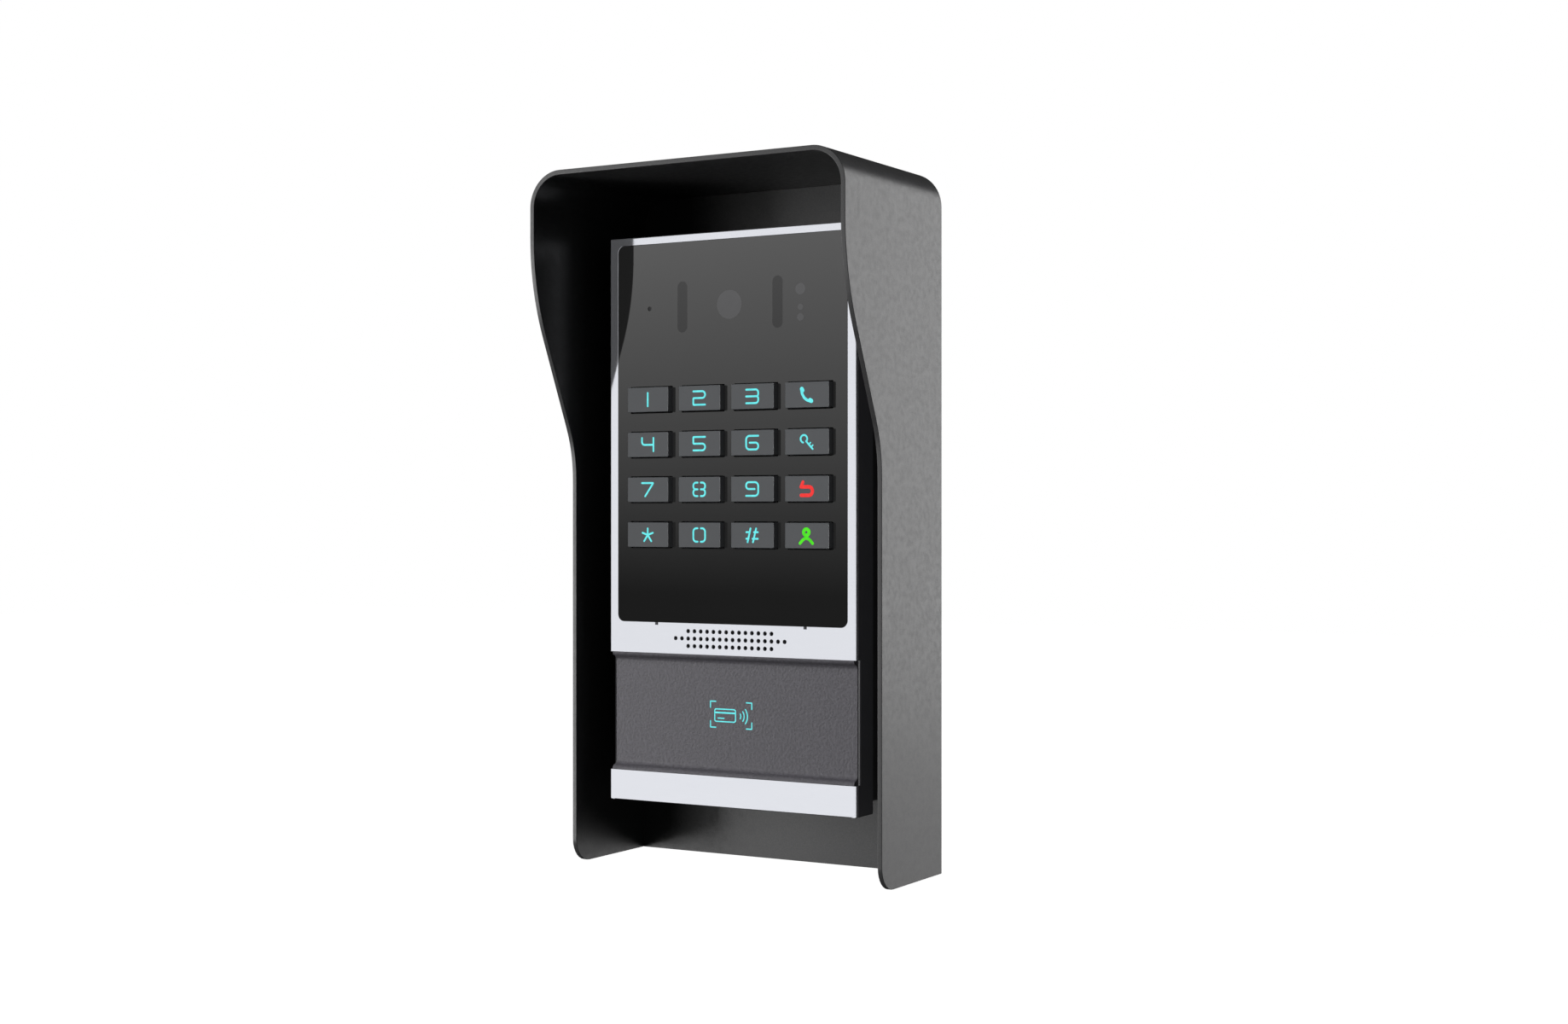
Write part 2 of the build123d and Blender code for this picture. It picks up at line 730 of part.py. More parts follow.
with BuildPart() as card_cover:
    with BuildSketch(Plane.YZ.offset(-card_width / 2)):
        with BuildLine():
            lower_ramp = Line((-card_seat, trim_top), (-panel_depth, trim_top))
            lower_out = TangentArc(
                lower_ramp @ 1,
                (-ramp_middle, trim_top + ramp_run / 2),
                tangent=(0, 1),
            )
            lower_in = TangentArc(
                lower_out @ 1, (-card_face, trim_top + ramp_run), tangent=lower_out % 1
            )
            face_line = Line(lower_in @ 1, (-card_face, card_top - ramp_run))
            upper_in = TangentArc(
                face_line @ 1,
                (-ramp_middle, card_top - ramp_run / 2),
                tangent=(0, 1),
            )
            upper_out = TangentArc(
                upper_in @ 1, (-panel_depth, card_top), tangent=upper_in % 1
            )
            Polyline(upper_out @ 1, (-card_seat, card_top), (-card_seat, trim_top))
        make_face()
    extrude(amount=card_width)
save(card_cover, "card_cover")

# ---------------------------------------------------------------- keys

key_edge = 0.25               # chamfer round the key's face
key_flange_front = wall_inside - slide_gap
key_flange_back = key_flange_front - key_flange_thickness
key_stem_back = key_board_front + dome_height + key_rest_gap + key_travel

for name, (key_x, key_z) in key_spots.items():
    with BuildPart() as key:
        with BuildSketch(out(key_flange_front)):
            with Locations((key_x, key_z)):
                RectangleRounded(key_width, key_height, key_corner)
        extrude(amount=key_face - key_flange_front)
        chamfer(key.faces().sort_by(Axis.Y)[0].edges(), key_edge)
        with BuildSketch(out(key_flange_front)):
            with Locations((key_x, key_z)):
                RectangleRounded(
                    key_width + 2 * key_flange, key_height + 2 * key_flange, key_corner
                )
        extrude(amount=-key_flange_thickness)
        with BuildSketch(out(key_flange_back)):
            with Locations((key_x, key_z)):
                Circle(key_stem_radius)
        extrude(amount=key_stem_back - key_flange_back)
    save(key, name)

# ---------------------------------------------------------------- keypad boards

key_board_margin = 5.0        # board beyond the outer key centres
key_board_head = 2.0          # board above the keys
key_board_foot = 9.0          # board below the keys, for its connector
key_board_corner = 1.5
key_board_width = 2 * (key_pitch_x * 1.5 + key_board_margin)
key_board_top = keys_head + key_board_head
key_board_bottom = keys_foot - key_board_foot
key_board_height = key_board_top - key_board_bottom
key_board_middle = (key_board_top + key_board_bottom) / 2
dome_radius = 2.5
dome_bevel = 0.4
dome_slope = 1.0
mat_thickness = 1.0
mat_margin = 2.0              # mat inside the outer half-pitches, above and below
mat_bore = key_stem_radius + 0.4
mat_collar = mat_bore + 1.1
mat_collar_front = key_flange_back - key_travel
mat_post_gap = 0.3

with BuildPart() as key_board:
    with BuildSketch(out(key_board_depth)):
        with Locations((0, key_board_middle)):
            RectangleRounded(key_board_width, key_board_height, key_board_corner)
        with Locations(*key_post_spots):
            Circle(small_screw_radius + screw_hole_gap, mode=Mode.SUBTRACT)
    extrude(amount=board_thickness)
save(key_board, "key_board")

with BuildPart() as key_domes:
    with BuildSketch(out(key_board_front)):
        with Locations(*all_keys):
            Circle(dome_radius)
    extrude(amount=dome_height)
    chamfer(key_domes.faces().group_by(Axis.Y)[0].edges(), dome_bevel, dome_slope)
save(key_domes, "key_domes")

with BuildPart() as keypad_mat:
    with BuildSketch(out(key_board_front)):
        with Locations((0, keypad_middle)):
            RectangleRounded(
                key_board_width, 4 * key_pitch_z - 2 * mat_margin, key_board_corner
            )
        with Locations(*key_post_spots):
            Circle(post_radius + mat_post_gap, mode=Mode.SUBTRACT)
    extrude(amount=mat_thickness)
    with BuildSketch(out(key_board_front + mat_thickness)):
        with Locations(*all_keys):
            Circle(mat_collar)
    extrude(amount=mat_collar_front - key_board_front - mat_thickness)
    with BuildSketch(out(key_board_front)):
        with Locations(*all_keys):
            Circle(mat_bore)
    extrude(amount=mat_collar_front - key_board_front, mode=Mode.SUBTRACT)
save(keypad_mat, "keypad_mat")

screws(
    "key_board_screws", key_post_spots, key_board_depth, -1, M2,
    board_thickness + key_post_grip,
)

# ---------------------------------------------------------------- camera board and what it carries

camera_board_side = 4.6       # board beyond the microphone's centre
camera_board_margin = 4.25    # board above and below the light bars
camera_board_width = 2 * (microphone_offset + camera_board_side)
camera_board_height = light_bar_height + 2 * camera_board_margin

with BuildPart() as camera_board:
    with BuildSketch(out(camera_board_depth)):
        with Locations(camera_spot):
            RectangleRounded(camera_board_width, camera_board_height, board_corner)
        with Locations(*camera_post_spots):
            Circle(small_screw_radius + screw_hole_gap, mode=Mode.SUBTRACT)
    extrude(amount=board_thickness)
save(camera_board, "camera_board")

screws(
    "camera_board_screws", camera_post_spots, camera_board_depth, -1, M2,
    board_thickness + camera_post_grip,
)

lens_radius = 3.6
lens_bore = 2.6
lens_glass_gap = 0.3          # lens crown to the glass
barrel_gap = 0.5              # barrel to the hole in the front wall
barrel_radius = camera_radius - barrel_gap
barrel_lead = 0.8             # barrel into the front wall's hole
barrel_front = wall_inside + barrel_lead
barrel_foot_side = 11.0
barrel_foot = 1.6

with BuildPart() as camera_barrel:
    with BuildSketch(out(camera_board_front)):
        with Locations(camera_spot):
            Rectangle(barrel_foot_side, barrel_foot_side)
    extrude(amount=barrel_foot)
    with BuildSketch(out(camera_board_front + barrel_foot)):
        with Locations(camera_spot):
            Circle(barrel_radius)
    extrude(amount=barrel_front - camera_board_front - barrel_foot)
    with BuildSketch(out(barrel_front)):
        with Locations(camera_spot):
            Circle(lens_radius)
    extrude(amount=-lens_bore, mode=Mode.SUBTRACT)
save(camera_barrel, "camera_barrel")

lens_back = barrel_front - lens_bore
lens_sink = 0.6               # lens rim below the barrel's front
lens_rim = barrel_front - lens_sink
lens_crown = glass_back - lens_glass_gap
lens_edge = lens_radius - thread_gap
lens_rise = lens_crown - lens_rim
lens_sphere = (lens_edge**2 + lens_rise**2) / (2 * lens_rise)
lens_half_angle = math.degrees(math.asin(lens_edge / lens_sphere))

with BuildPart() as camera_lens:
    with BuildSketch(lathe(camera_spot)):
        with BuildLine():
            CenterArc(
                (0, lens_crown - lens_sphere), lens_sphere, 90 - lens_half_angle, lens_half_angle
            )
            Polyline((0, lens_crown), (0, lens_back), (lens_edge, lens_back), (lens_edge, lens_rim))
        make_face()
    revolve(axis=spindle(camera_spot))
save(camera_lens, "camera_lens")

led_height = 1.0
led_width = 2.8
led_length = 3.5
led_pitch = 6.5
led_spots = [(x, z + step) for x, z in light_bar_spots for step in (-led_pitch, 0, led_pitch)]

with BuildPart() as fill_leds:
    with BuildSketch(out(camera_board_front)):
        with Locations(*led_spots):
            Rectangle(led_width, led_length)
    extrude(amount=led_height)
save(fill_leds, "fill_leds")

for name, spot in zip(("light_bar_left", "light_bar_right"), light_bar_spots):
    with BuildPart() as light_bar:
        with BuildSketch(out(camera_board_front + led_height)):
            with Locations(spot):
                SlotOverall(light_bar_height, light_bar_width, rotation=90)
        extrude(amount=glass_back - camera_board_front - led_height)
    save(light_bar, name)

with BuildPart() as sensor_lenses:
    with BuildSketch(out(camera_board_front)):
        for rise, radius in sensor_spots:
            with Locations((sensor_offset, camera_height + rise)):
                Circle(radius)
    extrude(amount=glass_back - camera_board_front)
save(sensor_lenses, "sensor_lenses")

capsule_radius = 3.0
capsule_height = 1.6
boot_wall = 1.3

with BuildPart() as microphone:
    with BuildSketch(out(camera_board_front)):
        with Locations(microphone_spot):
            Circle(capsule_radius)
    extrude(amount=capsule_height)
    with BuildSketch(out(camera_board_front + capsule_height)):
        with Locations(microphone_spot):
            Circle(microphone_hole_radius)
    extrude(amount=-capsule_height / 2, mode=Mode.SUBTRACT)
save(microphone, "microphone")

with BuildPart() as microphone_boot:
    with BuildSketch(out(camera_board_front)):
        with Locations(microphone_spot):
            Circle(capsule_radius + boot_wall)
    extrude(amount=wall_inside - camera_board_front)
    with BuildSketch(out(camera_board_front)):
        with Locations(microphone_spot):
            Circle(capsule_radius)
    extrude(amount=capsule_height, mode=Mode.SUBTRACT)
    with BuildSketch(out(camera_board_front)):
        with Locations(microphone_spot):
            Circle(microphone_hole_radius)
    extrude(amount=wall_inside - camera_board_front, mode=Mode.SUBTRACT)
save(microphone_boot, "microphone_boot")

# ---------------------------------------------------------------- loudspeaker

speaker_back = wall_inside - speaker_depth
cone_back = speaker_back + speaker_basket
cone_room = 2.2               # cone's front to the front wall
cone_front = wall_inside - cone_room
cone_rim = 0.6
cone_margin = 5.0             # raised cone inside the frame
cone_draft = 30
magnet_radius = 10.0
magnet_edge = 0.6
mesh_thickness = 0.4
mesh_wall = 1.0

with BuildPart() as speaker_frame:
    with BuildSketch(out(speaker_back)):
        with Locations((0, speaker_middle)):
            RectangleRounded(speaker_width, speaker_height, speaker_corner)
    extrude(amount=wall_inside - speaker_back)
    with BuildSketch(out(cone_back)):
        with Locations((0, speaker_middle)):
            RectangleRounded(
                speaker_width - 2 * speaker_rim,
                speaker_height - 2 * speaker_rim,
                speaker_corner - speaker_rim,
            )
    extrude(amount=wall_inside - cone_back, mode=Mode.SUBTRACT)
    with BuildSketch(out(speaker_back)):
        with Locations((0, speaker_middle)):
            Circle(magnet_radius)
    extrude(amount=cone_back - speaker_back, mode=Mode.SUBTRACT)
save(speaker_frame, "speaker_frame")

with BuildPart() as speaker_magnet:
    with BuildSketch(out(cone_back)):
        with Locations((0, speaker_middle)):
            Circle(magnet_radius)
    extrude(amount=-magnet_depth)
    chamfer(speaker_magnet.faces().sort_by(Axis.Y)[-1].edges(), magnet_edge)
save(speaker_magnet, "speaker_magnet")

with BuildPart() as speaker_cone:
    with BuildSketch(out(cone_back)):
        with Locations((0, speaker_middle)):
            RectangleRounded(
                speaker_width - 2 * speaker_rim,
                speaker_height - 2 * speaker_rim,
                speaker_corner - speaker_rim,
            )
    extrude(amount=cone_rim)
    with BuildSketch(out(cone_back + cone_rim)):
        with Locations((0, speaker_middle)):
            SlotOverall(speaker_width - 2 * cone_margin, speaker_height - 2 * cone_margin)
    extrude(amount=cone_front - cone_back - cone_rim, taper=cone_draft)
save(speaker_cone, "speaker_cone")

mesh_width = speaker_slot_width - 2 * plate_gap
mesh_height = speaker_slot_height - 2 * plate_gap

with BuildPart() as speaker_mesh:
    with BuildSketch(out(wall_inside)):
        with Locations((0, speaker_line)):
            SlotOverall(mesh_width, mesh_height)
    extrude(amount=front_wall)
    with BuildSketch(out(wall_inside)):
        with Locations((0, speaker_line)):
            SlotOverall(mesh_width - 2 * mesh_wall, mesh_height - 2 * mesh_wall)
    extrude(amount=front_wall - mesh_thickness, mode=Mode.SUBTRACT)
save(speaker_mesh, "speaker_mesh")

# ---------------------------------------------------------------- card reader

antenna_width = card_window_width - 2 * card_window_gap
antenna_height = card_window_height - 2 * card_window_gap
antenna_board_thickness = 1.2
antenna_back = card_seat - antenna_board_thickness
antenna_corner = 1.5
coil_turns = 3
coil_inset = 1.5
coil_width = 0.9
coil_thickness = 0.25
coil_corner = 1.2
coil_inner_corner = 1.0
mark_width = 24.0             # window in the antenna board for the lit mark
mark_height = 15.0
light_guide_thickness = 2.0
light_guide_corner = 1.0

with BuildPart() as card_antenna_board:
    with BuildSketch(out(antenna_back)):
        with Locations((0, card_middle)):
            RectangleRounded(antenna_width, antenna_height, antenna_corner)
            Rectangle(mark_width, mark_height, mode=Mode.SUBTRACT)
    extrude(amount=antenna_board_thickness)
save(card_antenna_board, "card_antenna_board")

with BuildPart() as card_antenna_coil:
    with BuildSketch(out(antenna_back)):
        with Locations((0, card_middle)):
            for turn in range(coil_turns):
                inset = coil_inset + 2 * turn * coil_width
                RectangleRounded(
                    antenna_width - 2 * inset, antenna_height - 2 * inset, coil_corner
                )
                RectangleRounded(
                    antenna_width - 2 * (inset + coil_width),
                    antenna_height - 2 * (inset + coil_width),
                    coil_inner_corner,
                    mode=Mode.SUBTRACT,
                )
    extrude(amount=-coil_thickness)
save(card_antenna_coil, "card_antenna_coil")

with BuildPart() as card_light_guide:
    with BuildSketch(out(card_seat)):
        with Locations((0, card_middle)):
            RectangleRounded(
                mark_width - 2 * plate_gap, mark_height - 2 * plate_gap, light_guide_corner
            )
    extrude(amount=-light_guide_thickness)
save(card_light_guide, "card_light_guide")

# ---------------------------------------------------------------- main board

with BuildPart() as main_board:
    with BuildSketch(out(main_board_depth)):
        with Locations((0, panel_middle)):
            RectangleRounded(main_board_width, main_board_height, board_corner)
        with Locations(*standoff_spots):
            Circle(small_screw_radius + screw_hole_gap, mode=Mode.SUBTRACT)
    extrude(amount=board_thickness)
save(main_board, "main_board")

standoff_grip = 4.0
screws(
    "main_board_screws", standoff_spots, main_board_front, 1, M2,
    board_thickness + standoff_grip,
)

shield_side = 36.0
shield_height = 3.0
shield_sheet = 0.4
shield_corner = 1.0
shield_rise = 40.0            # shield above the panel's middle
shield_spot = (0, panel_middle + shield_rise)

with BuildPart() as processor_shield:
    with BuildSketch(out(main_board_front)):
        with Locations(shield_spot):
            RectangleRounded(shield_side, shield_side, shield_corner)
    extrude(amount=shield_height)
    with BuildSketch(out(main_board_front)):
        with Locations(shield_spot):
            RectangleRounded(
                shield_side - 2 * shield_sheet,
                shield_side - 2 * shield_sheet,
                shield_corner - shield_sheet,
            )
    extrude(amount=shield_height - shield_sheet, mode=Mode.SUBTRACT)
save(processor_shield, "processor_shield")

connector_width = 30.0
connector_thickness = 5.0
connector_rise = 4.0          # connector's middle above the key board's lower edge

with BuildPart() as board_connector:
    with BuildSketch(out(main_board_front)):
        with Locations((0, key_board_bottom + connector_rise)):
            Rectangle(connector_width, connector_thickness)
    extrude(amount=key_board_depth - main_board_front)
save(board_connector, "board_connector")

terminal_poles = 8
terminal_pitch = 3.5
terminal_height = 9.0
terminal_depth = 10.0
wiring_rise = 34.0            # terminal block and jack above the rear housing's lower edge
wiring_height = rear_bottom + wiring_rise
terminal_x = -19.0
terminal_middle = (terminal_x, wiring_height)
terminal_columns = [
    terminal_x + (pole - (terminal_poles - 1) / 2) * terminal_pitch
    for pole in range(terminal_poles)
]
well_rise = 1.5               # screw wells above the block's middle
well_radius = 1.4
well_depth = 4.0
terminal_wells = [(x, wiring_height + well_rise) for x in terminal_columns]
mouth_side = 2.4
mouth_depth = 5.0
mouth_setback = 3.0           # wire mouths behind the main board
terminal_screw_height = 2.4
terminal_slot_width = 0.5
terminal_slot_depth = 0.7

with BuildPart() as terminal_block:
    with BuildSketch(out(main_board_depth)):
        with Locations(terminal_middle):
            Rectangle(terminal_poles * terminal_pitch, terminal_height)
    extrude(amount=-terminal_depth)
    with BuildSketch(out(main_board_depth - terminal_depth)):
        with Locations(*terminal_wells):
            Circle(well_radius)
    extrude(amount=well_depth, mode=Mode.SUBTRACT)
    with BuildSketch(Plane.XY.offset(wiring_height - terminal_height / 2)):
        with Locations(*[(x, -main_board_depth + mouth_setback) for x in terminal_columns]):
            Rectangle(mouth_side, mouth_side)
    extrude(amount=mouth_depth, mode=Mode.SUBTRACT)
save(terminal_block, "terminal_block")

with BuildPart() as terminal_screws:
    terminal_seat = main_board_depth - terminal_depth + well_depth
    with BuildSketch(out(terminal_seat)):
        with Locations(*terminal_wells):
            Circle(well_radius - thread_gap)
    extrude(amount=-terminal_screw_height)
    with BuildSketch(out(terminal_seat - terminal_screw_height)):
        with Locations(*terminal_wells):
            Rectangle(2 * well_radius, terminal_slot_width)
    extrude(amount=terminal_slot_depth, mode=Mode.SUBTRACT)
save(terminal_screws, "terminal_screws")

jack_x = 20.0
socket_width = 11.8
socket_height = 8.0
socket_end_wall = 4.0

with BuildPart() as network_jack:
    with BuildSketch(out(main_board_depth)):
        with Locations((jack_x, wiring_height)):
            Rectangle(jack_width, jack_height)
    extrude(amount=-jack_depth)
    with BuildSketch(Plane.XY.offset(wiring_height - jack_height / 2)):
        with Locations((jack_x, -main_board_depth + jack_depth / 2)):
            Rectangle(socket_width, socket_height)
    extrude(amount=jack_height - socket_end_wall, mode=Mode.SUBTRACT)
save(network_jack, "network_jack")

# ---------------------------------------------------------------- tamper switch

plunger_rest_gap = 0.3        # tip to the bracket
plunger_nose = 0.6            # chamfer at the tip
collar_height = 1.2
collar_width = 1.6
tamper_travel = 1.5
tamper_end_gap = 0.5          # plunger to the switch's base at full travel
switch_side = 9.0
switch_base = 2.0
switch_guide = 2.5            # length of the plunger inside the switch at rest
plunger_tip = bracket_front + plunger_rest_gap
switch_floor = main_board_depth - switch_base
plunger_back = switch_floor - tamper_end_gap - tamper_travel
switch_front = plunger_back - switch_guide
collar_back = rear_back + rear_wall + slide_gap
collar_front = collar_back + collar_height

with BuildPart() as tamper_plunger:
    with BuildSketch(lathe(tamper_spot)):
        with BuildLine():
            Polyline(
                (0, plunger_back),
                (0, plunger_tip),
                (plunger_radius - plunger_nose, plunger_tip),
                (plunger_radius, plunger_tip + plunger_nose),
                (plunger_radius, collar_back),
                (plunger_radius + collar_width, collar_back),
                (plunger_radius + collar_width, collar_front),
                (plunger_radius, collar_front),
                (plunger_radius, plunger_back),
                close=True,
            )
        make_face()
    revolve(axis=spindle(tamper_spot))
save(tamper_plunger, "tamper_plunger")

with BuildPart() as tamper_switch:
    with BuildSketch(out(switch_front)):
        with Locations(tamper_spot):
            Rectangle(switch_side, switch_side)
            Circle(plunger_radius + plunger_clearance, mode=Mode.SUBTRACT)
    extrude(amount=switch_floor - switch_front)
    with BuildSketch(out(switch_floor)):
        with Locations(tamper_spot):
            Rectangle(switch_side, switch_side)
    extrude(amount=switch_base)
save(tamper_switch, "tamper_switch")
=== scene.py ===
import json
import math

import bmesh
import bpy
from mathutils import Matrix, Vector

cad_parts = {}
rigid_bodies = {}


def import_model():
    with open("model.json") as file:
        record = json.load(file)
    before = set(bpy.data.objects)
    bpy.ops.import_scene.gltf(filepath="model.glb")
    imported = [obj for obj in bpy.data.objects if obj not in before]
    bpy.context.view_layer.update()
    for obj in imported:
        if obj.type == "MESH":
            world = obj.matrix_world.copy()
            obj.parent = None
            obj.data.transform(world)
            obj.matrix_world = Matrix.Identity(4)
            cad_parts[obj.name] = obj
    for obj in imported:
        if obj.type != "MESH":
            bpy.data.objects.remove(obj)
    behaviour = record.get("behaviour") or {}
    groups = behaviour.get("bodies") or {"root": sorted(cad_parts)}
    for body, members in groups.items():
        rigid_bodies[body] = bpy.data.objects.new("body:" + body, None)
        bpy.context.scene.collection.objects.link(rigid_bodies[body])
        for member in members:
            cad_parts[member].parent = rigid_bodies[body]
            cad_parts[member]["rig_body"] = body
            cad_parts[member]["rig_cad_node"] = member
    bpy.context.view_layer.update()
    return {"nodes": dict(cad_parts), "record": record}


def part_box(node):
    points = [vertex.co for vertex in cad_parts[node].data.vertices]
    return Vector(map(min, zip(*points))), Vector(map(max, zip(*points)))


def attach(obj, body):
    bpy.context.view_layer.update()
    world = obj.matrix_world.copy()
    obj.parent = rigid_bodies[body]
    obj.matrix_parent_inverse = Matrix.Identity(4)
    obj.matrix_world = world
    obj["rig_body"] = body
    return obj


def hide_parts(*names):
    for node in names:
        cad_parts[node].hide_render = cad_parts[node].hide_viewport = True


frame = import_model()

# Looks of a door intercom panel under a sheet-metal rain hood.
# The frame is the CAD model's: metres, +X the visitor's right, +Z up, -Y out of the wall.

MM = 0.001
HAIR = 0.01 * MM              # tolerance for picking vertices, edges and faces by their place

# ---------------------------------------------------------------- sizes shared by several pieces

hood_sheet = 2.0 * MM
hood_corner = 15.0 * MM
hood_foot_radius = 10.0 * MM
hood_softness = 0.35 * MM     # rounding of the sheet's edges under its coat
back_plate_softness = 0.25 * MM
skirt_reach = 53.7 * MM       # straight lower part of the hood's sides, out from the wall
visor_drop = 49.0 * MM        # hood top to the upper bend of the side's front edge
skirt_drop = 116.4 * MM       # hood top to the lower bend
visor_bend = 100.0 * MM
skirt_bend = 54.0 * MM

plate_gap = 0.1 * MM
plate_corner = 0.5 * MM
plate_edge = 0.4 * MM         # rounding where a metal plate ends in the open
bezel_softness = 0.16 * MM
trim_softness = 0.14 * MM
trim_chamfer = 0.4 * MM
glass_corner = 3.0 * MM
glass_softness = 0.18 * MM
grille_pitch = 3.125 * MM
grille_hole_radius = 0.85 * MM
grille_rows = (14, 18, 14)
notch_offset = 36.2 * MM
notch_width = 1.4 * MM
notch_depth = 1.2 * MM

key_gap = 0.45 * MM
key_flange = 1.0 * MM
key_flange_thickness = 1.18 * MM   # a hair short, so a pressed key just clears its stop
key_corner = 0.4 * MM
opening_corner = 0.5 * MM
key_chamfer = 0.25 * MM
key_stem_radius = 2.5 * MM
key_face_to_flange = 7.2 * MM

card_recess = 3.0 * MM
ramp_run = 3.9 * MM
ramp_steps = 20
card_softness = 0.2 * MM
legend_width = 0.8            # in mm, as the legends' points are
legend_rise = 0.05 * MM
mark_width = 0.5              # in mm
mark_rise = 0.04 * MM

camera_drop = 27.3 * MM       # glass top to the camera's axis
camera_window_radius = 6.0 * MM
patch_proud = 0.015 * MM      # window patches stand this far out of the glass
patch_sunk = 0.1 * MM
gauze_front = 0.3 * MM        # the gauze lies between these depths in its hole
gauze_back = 0.6 * MM
light_bar_offset = 23.2 * MM
light_bar_width = 4.85 * MM
light_bar_height = 21.5 * MM
microphone_offset = 39.7 * MM
microphone_radius = 0.9 * MM
sensor_offset = 34.0 * MM
sensor_windows = ((4.7 * MM, 2.3 * MM), (-2.65 * MM, 1.25 * MM), (-6.8 * MM, 1.55 * MM))

key_names = (
    "key_1", "key_2", "key_3", "key_call",
    "key_4", "key_5", "key_6", "key_unlock",
    "key_7", "key_8", "key_9", "key_back",
    "key_star", "key_0", "key_hash", "key_contact",
)

# ---------------------------------------------------------------- colours and nodes


def srgb(code):
    """Linear colour of an sRGB hex value."""
    channels = [int(code[i:i + 2], 16) / 255 for i in (1, 3, 5)]
    return (*[c / 12.92 if c <= 0.04045 else ((c + 0.055) / 1.055) ** 2.4 for c in channels], 1)


def node(tree, kind, settings=None, links=None):
    """Add a node with its settings and the sockets that feed it."""
    made = tree.nodes.new(kind)
    for name, value in (settings or {}).items():
        if isinstance(name, int) or name in made.inputs:
            made.inputs[name].default_value = value
        else:
            setattr(made, name, value)
    for name, socket in (links or {}).items():
        tree.links.new(socket, made.inputs[name])
    return made


def new_material(name, **settings):
    """A material with its shader, output and object coordinates."""
    material = bpy.data.materials.new(name)
    material.use_nodes = True
    tree = material.node_tree
    tree.nodes.clear()
    shader = node(tree, "ShaderNodeBsdfPrincipled", settings)
    node(tree, "ShaderNodeOutputMaterial", links={"Surface": shader.outputs[0]})
    coords = node(tree, "ShaderNodeTexCoord").outputs["Object"]
    return material, tree, shader, coords


def noise(tree, coords, size, detail=2.0, roughness=0.5):
    """Noise whose blobs are about that size."""
    settings = {"Scale": 1 / size, "Detail": detail, "Roughness": roughness}
    return node(tree, "ShaderNodeTexNoise", settings, {"Vector": coords}).outputs["Fac"]


def span(tree, factor, low, high, start=0.0, end=1.0):
    """A factor from start to end, remapped to run from low to high."""
    settings = {"From Min": start, "From Max": end, "To Min": low, "To Max": high}
    return node(tree, "ShaderNodeMapRange", settings, {"Value": factor}).outputs["Result"]


def blend_colours(tree, factor, first, second):
    """Mix two hex colours or colour sockets by a factor socket."""
    mix = node(tree, "ShaderNodeMix", {"data_type": "RGBA"}, {"Factor": factor})
    for socket, colour in (("A", first), ("B", second)):
        target = [s for s in mix.inputs if s.name == socket and s.type == "RGBA"][0]
        if isinstance(colour, str):
            target.default_value = srgb(colour)
        else:
            tree.links.new(colour, target)
    return [s for s in mix.outputs if s.type == "RGBA"][0]


def bump(tree, shader, height, depth, strength=1.0):
    """Raise the surface by a height socket, to a real depth."""
    normal = node(
        tree, "ShaderNodeBump", {"Strength": strength, "Distance": depth}, {"Height": height}
    )
    tree.links.new(normal.outputs["Normal"], shader.inputs["Normal"])


def grained(name, first, second, roughness, grain, depth, patch=6.0 * MM, **settings):
    """A surface with a fine grain: two close colours, a roughness that wanders, and a bump."""
    material, tree, shader, coords = new_material(name, **settings)
    fine = noise(tree, coords, grain, 3.0)
    wide = noise(tree, coords, patch, 2.0)
    tree.links.new(blend_colours(tree, fine, first, second), shader.inputs["Base Color"])
    rough = span(tree, wide, roughness - 0.04, roughness + 0.04, 0.3, 0.7)
    tree.links.new(rough, shader.inputs["Roughness"])
    bump(tree, shader, fine, depth)
    return material


# ---------------------------------------------------------------- materials


def powder_coated_steel():
    """Sheet steel under dark polyester powder coat: fine grit over a soft orange peel."""
    material, tree, shader, coords = new_material("powder_coated_steel_fine_texture", IOR=1.5)
    grit = noise(tree, coords, 0.45 * MM, 3.0, 0.6)
    peel = noise(tree, coords, 2.4 * MM, 1.0)
    tree.links.new(
        blend_colours(tree, span(tree, grit, 0.0, 1.0, 0.35, 0.65), "#464647", "#505051"),
        shader.inputs["Base Color"],
    )
    tree.links.new(span(tree, peel, 0.3, 0.38, 0.3, 0.7), shader.inputs["Roughness"])
    height = node(tree, "ShaderNodeMath", {"operation": "MULTIPLY_ADD", 1: 0.35},
                  {0: peel, 2: grit}).outputs[0]
    bump(tree, shader, height, 0.008 * MM)
    return material


def satin_silver():
    """Silver anodised aluminium, satin: near mirror, with a faint drawn grain across."""
    material, tree, shader, coords = new_material("anodised_aluminium_satin", Metallic=0.88)
    stretched = node(tree, "ShaderNodeMapping", {"Scale": (0.04, 1, 1)}, {"Vector": coords})
    grain = noise(tree, stretched.outputs[0], 0.3 * MM, 3.0)
    cloud = noise(tree, coords, 14 * MM, 1.0)
    tree.links.new(blend_colours(tree, grain, "#E2E4EB", "#E8EAF0"), shader.inputs["Base Color"])
    tree.links.new(span(tree, cloud, 0.06, 0.09, 0.3, 0.7), shader.inputs["Roughness"])
    bump(tree, shader, grain, 0.0006 * MM)
    return material


def smoked_glass():
    """Tempered glass printed black behind: deep, glossy, with the slightest waviness."""
    material, tree, shader, coords = new_material(
        "tempered_glass_black_backed", IOR=1.5, Roughness=0.03
    )
    print_tone = noise(tree, coords, 30 * MM, 1.0)
    tree.links.new(
        blend_colours(tree, print_tone, "#232323", "#252525"), shader.inputs["Base Color"]
    )
    wave = noise(tree, coords, 45 * MM, 0.0)
    bump(tree, shader, wave, 0.01 * MM)
    return material


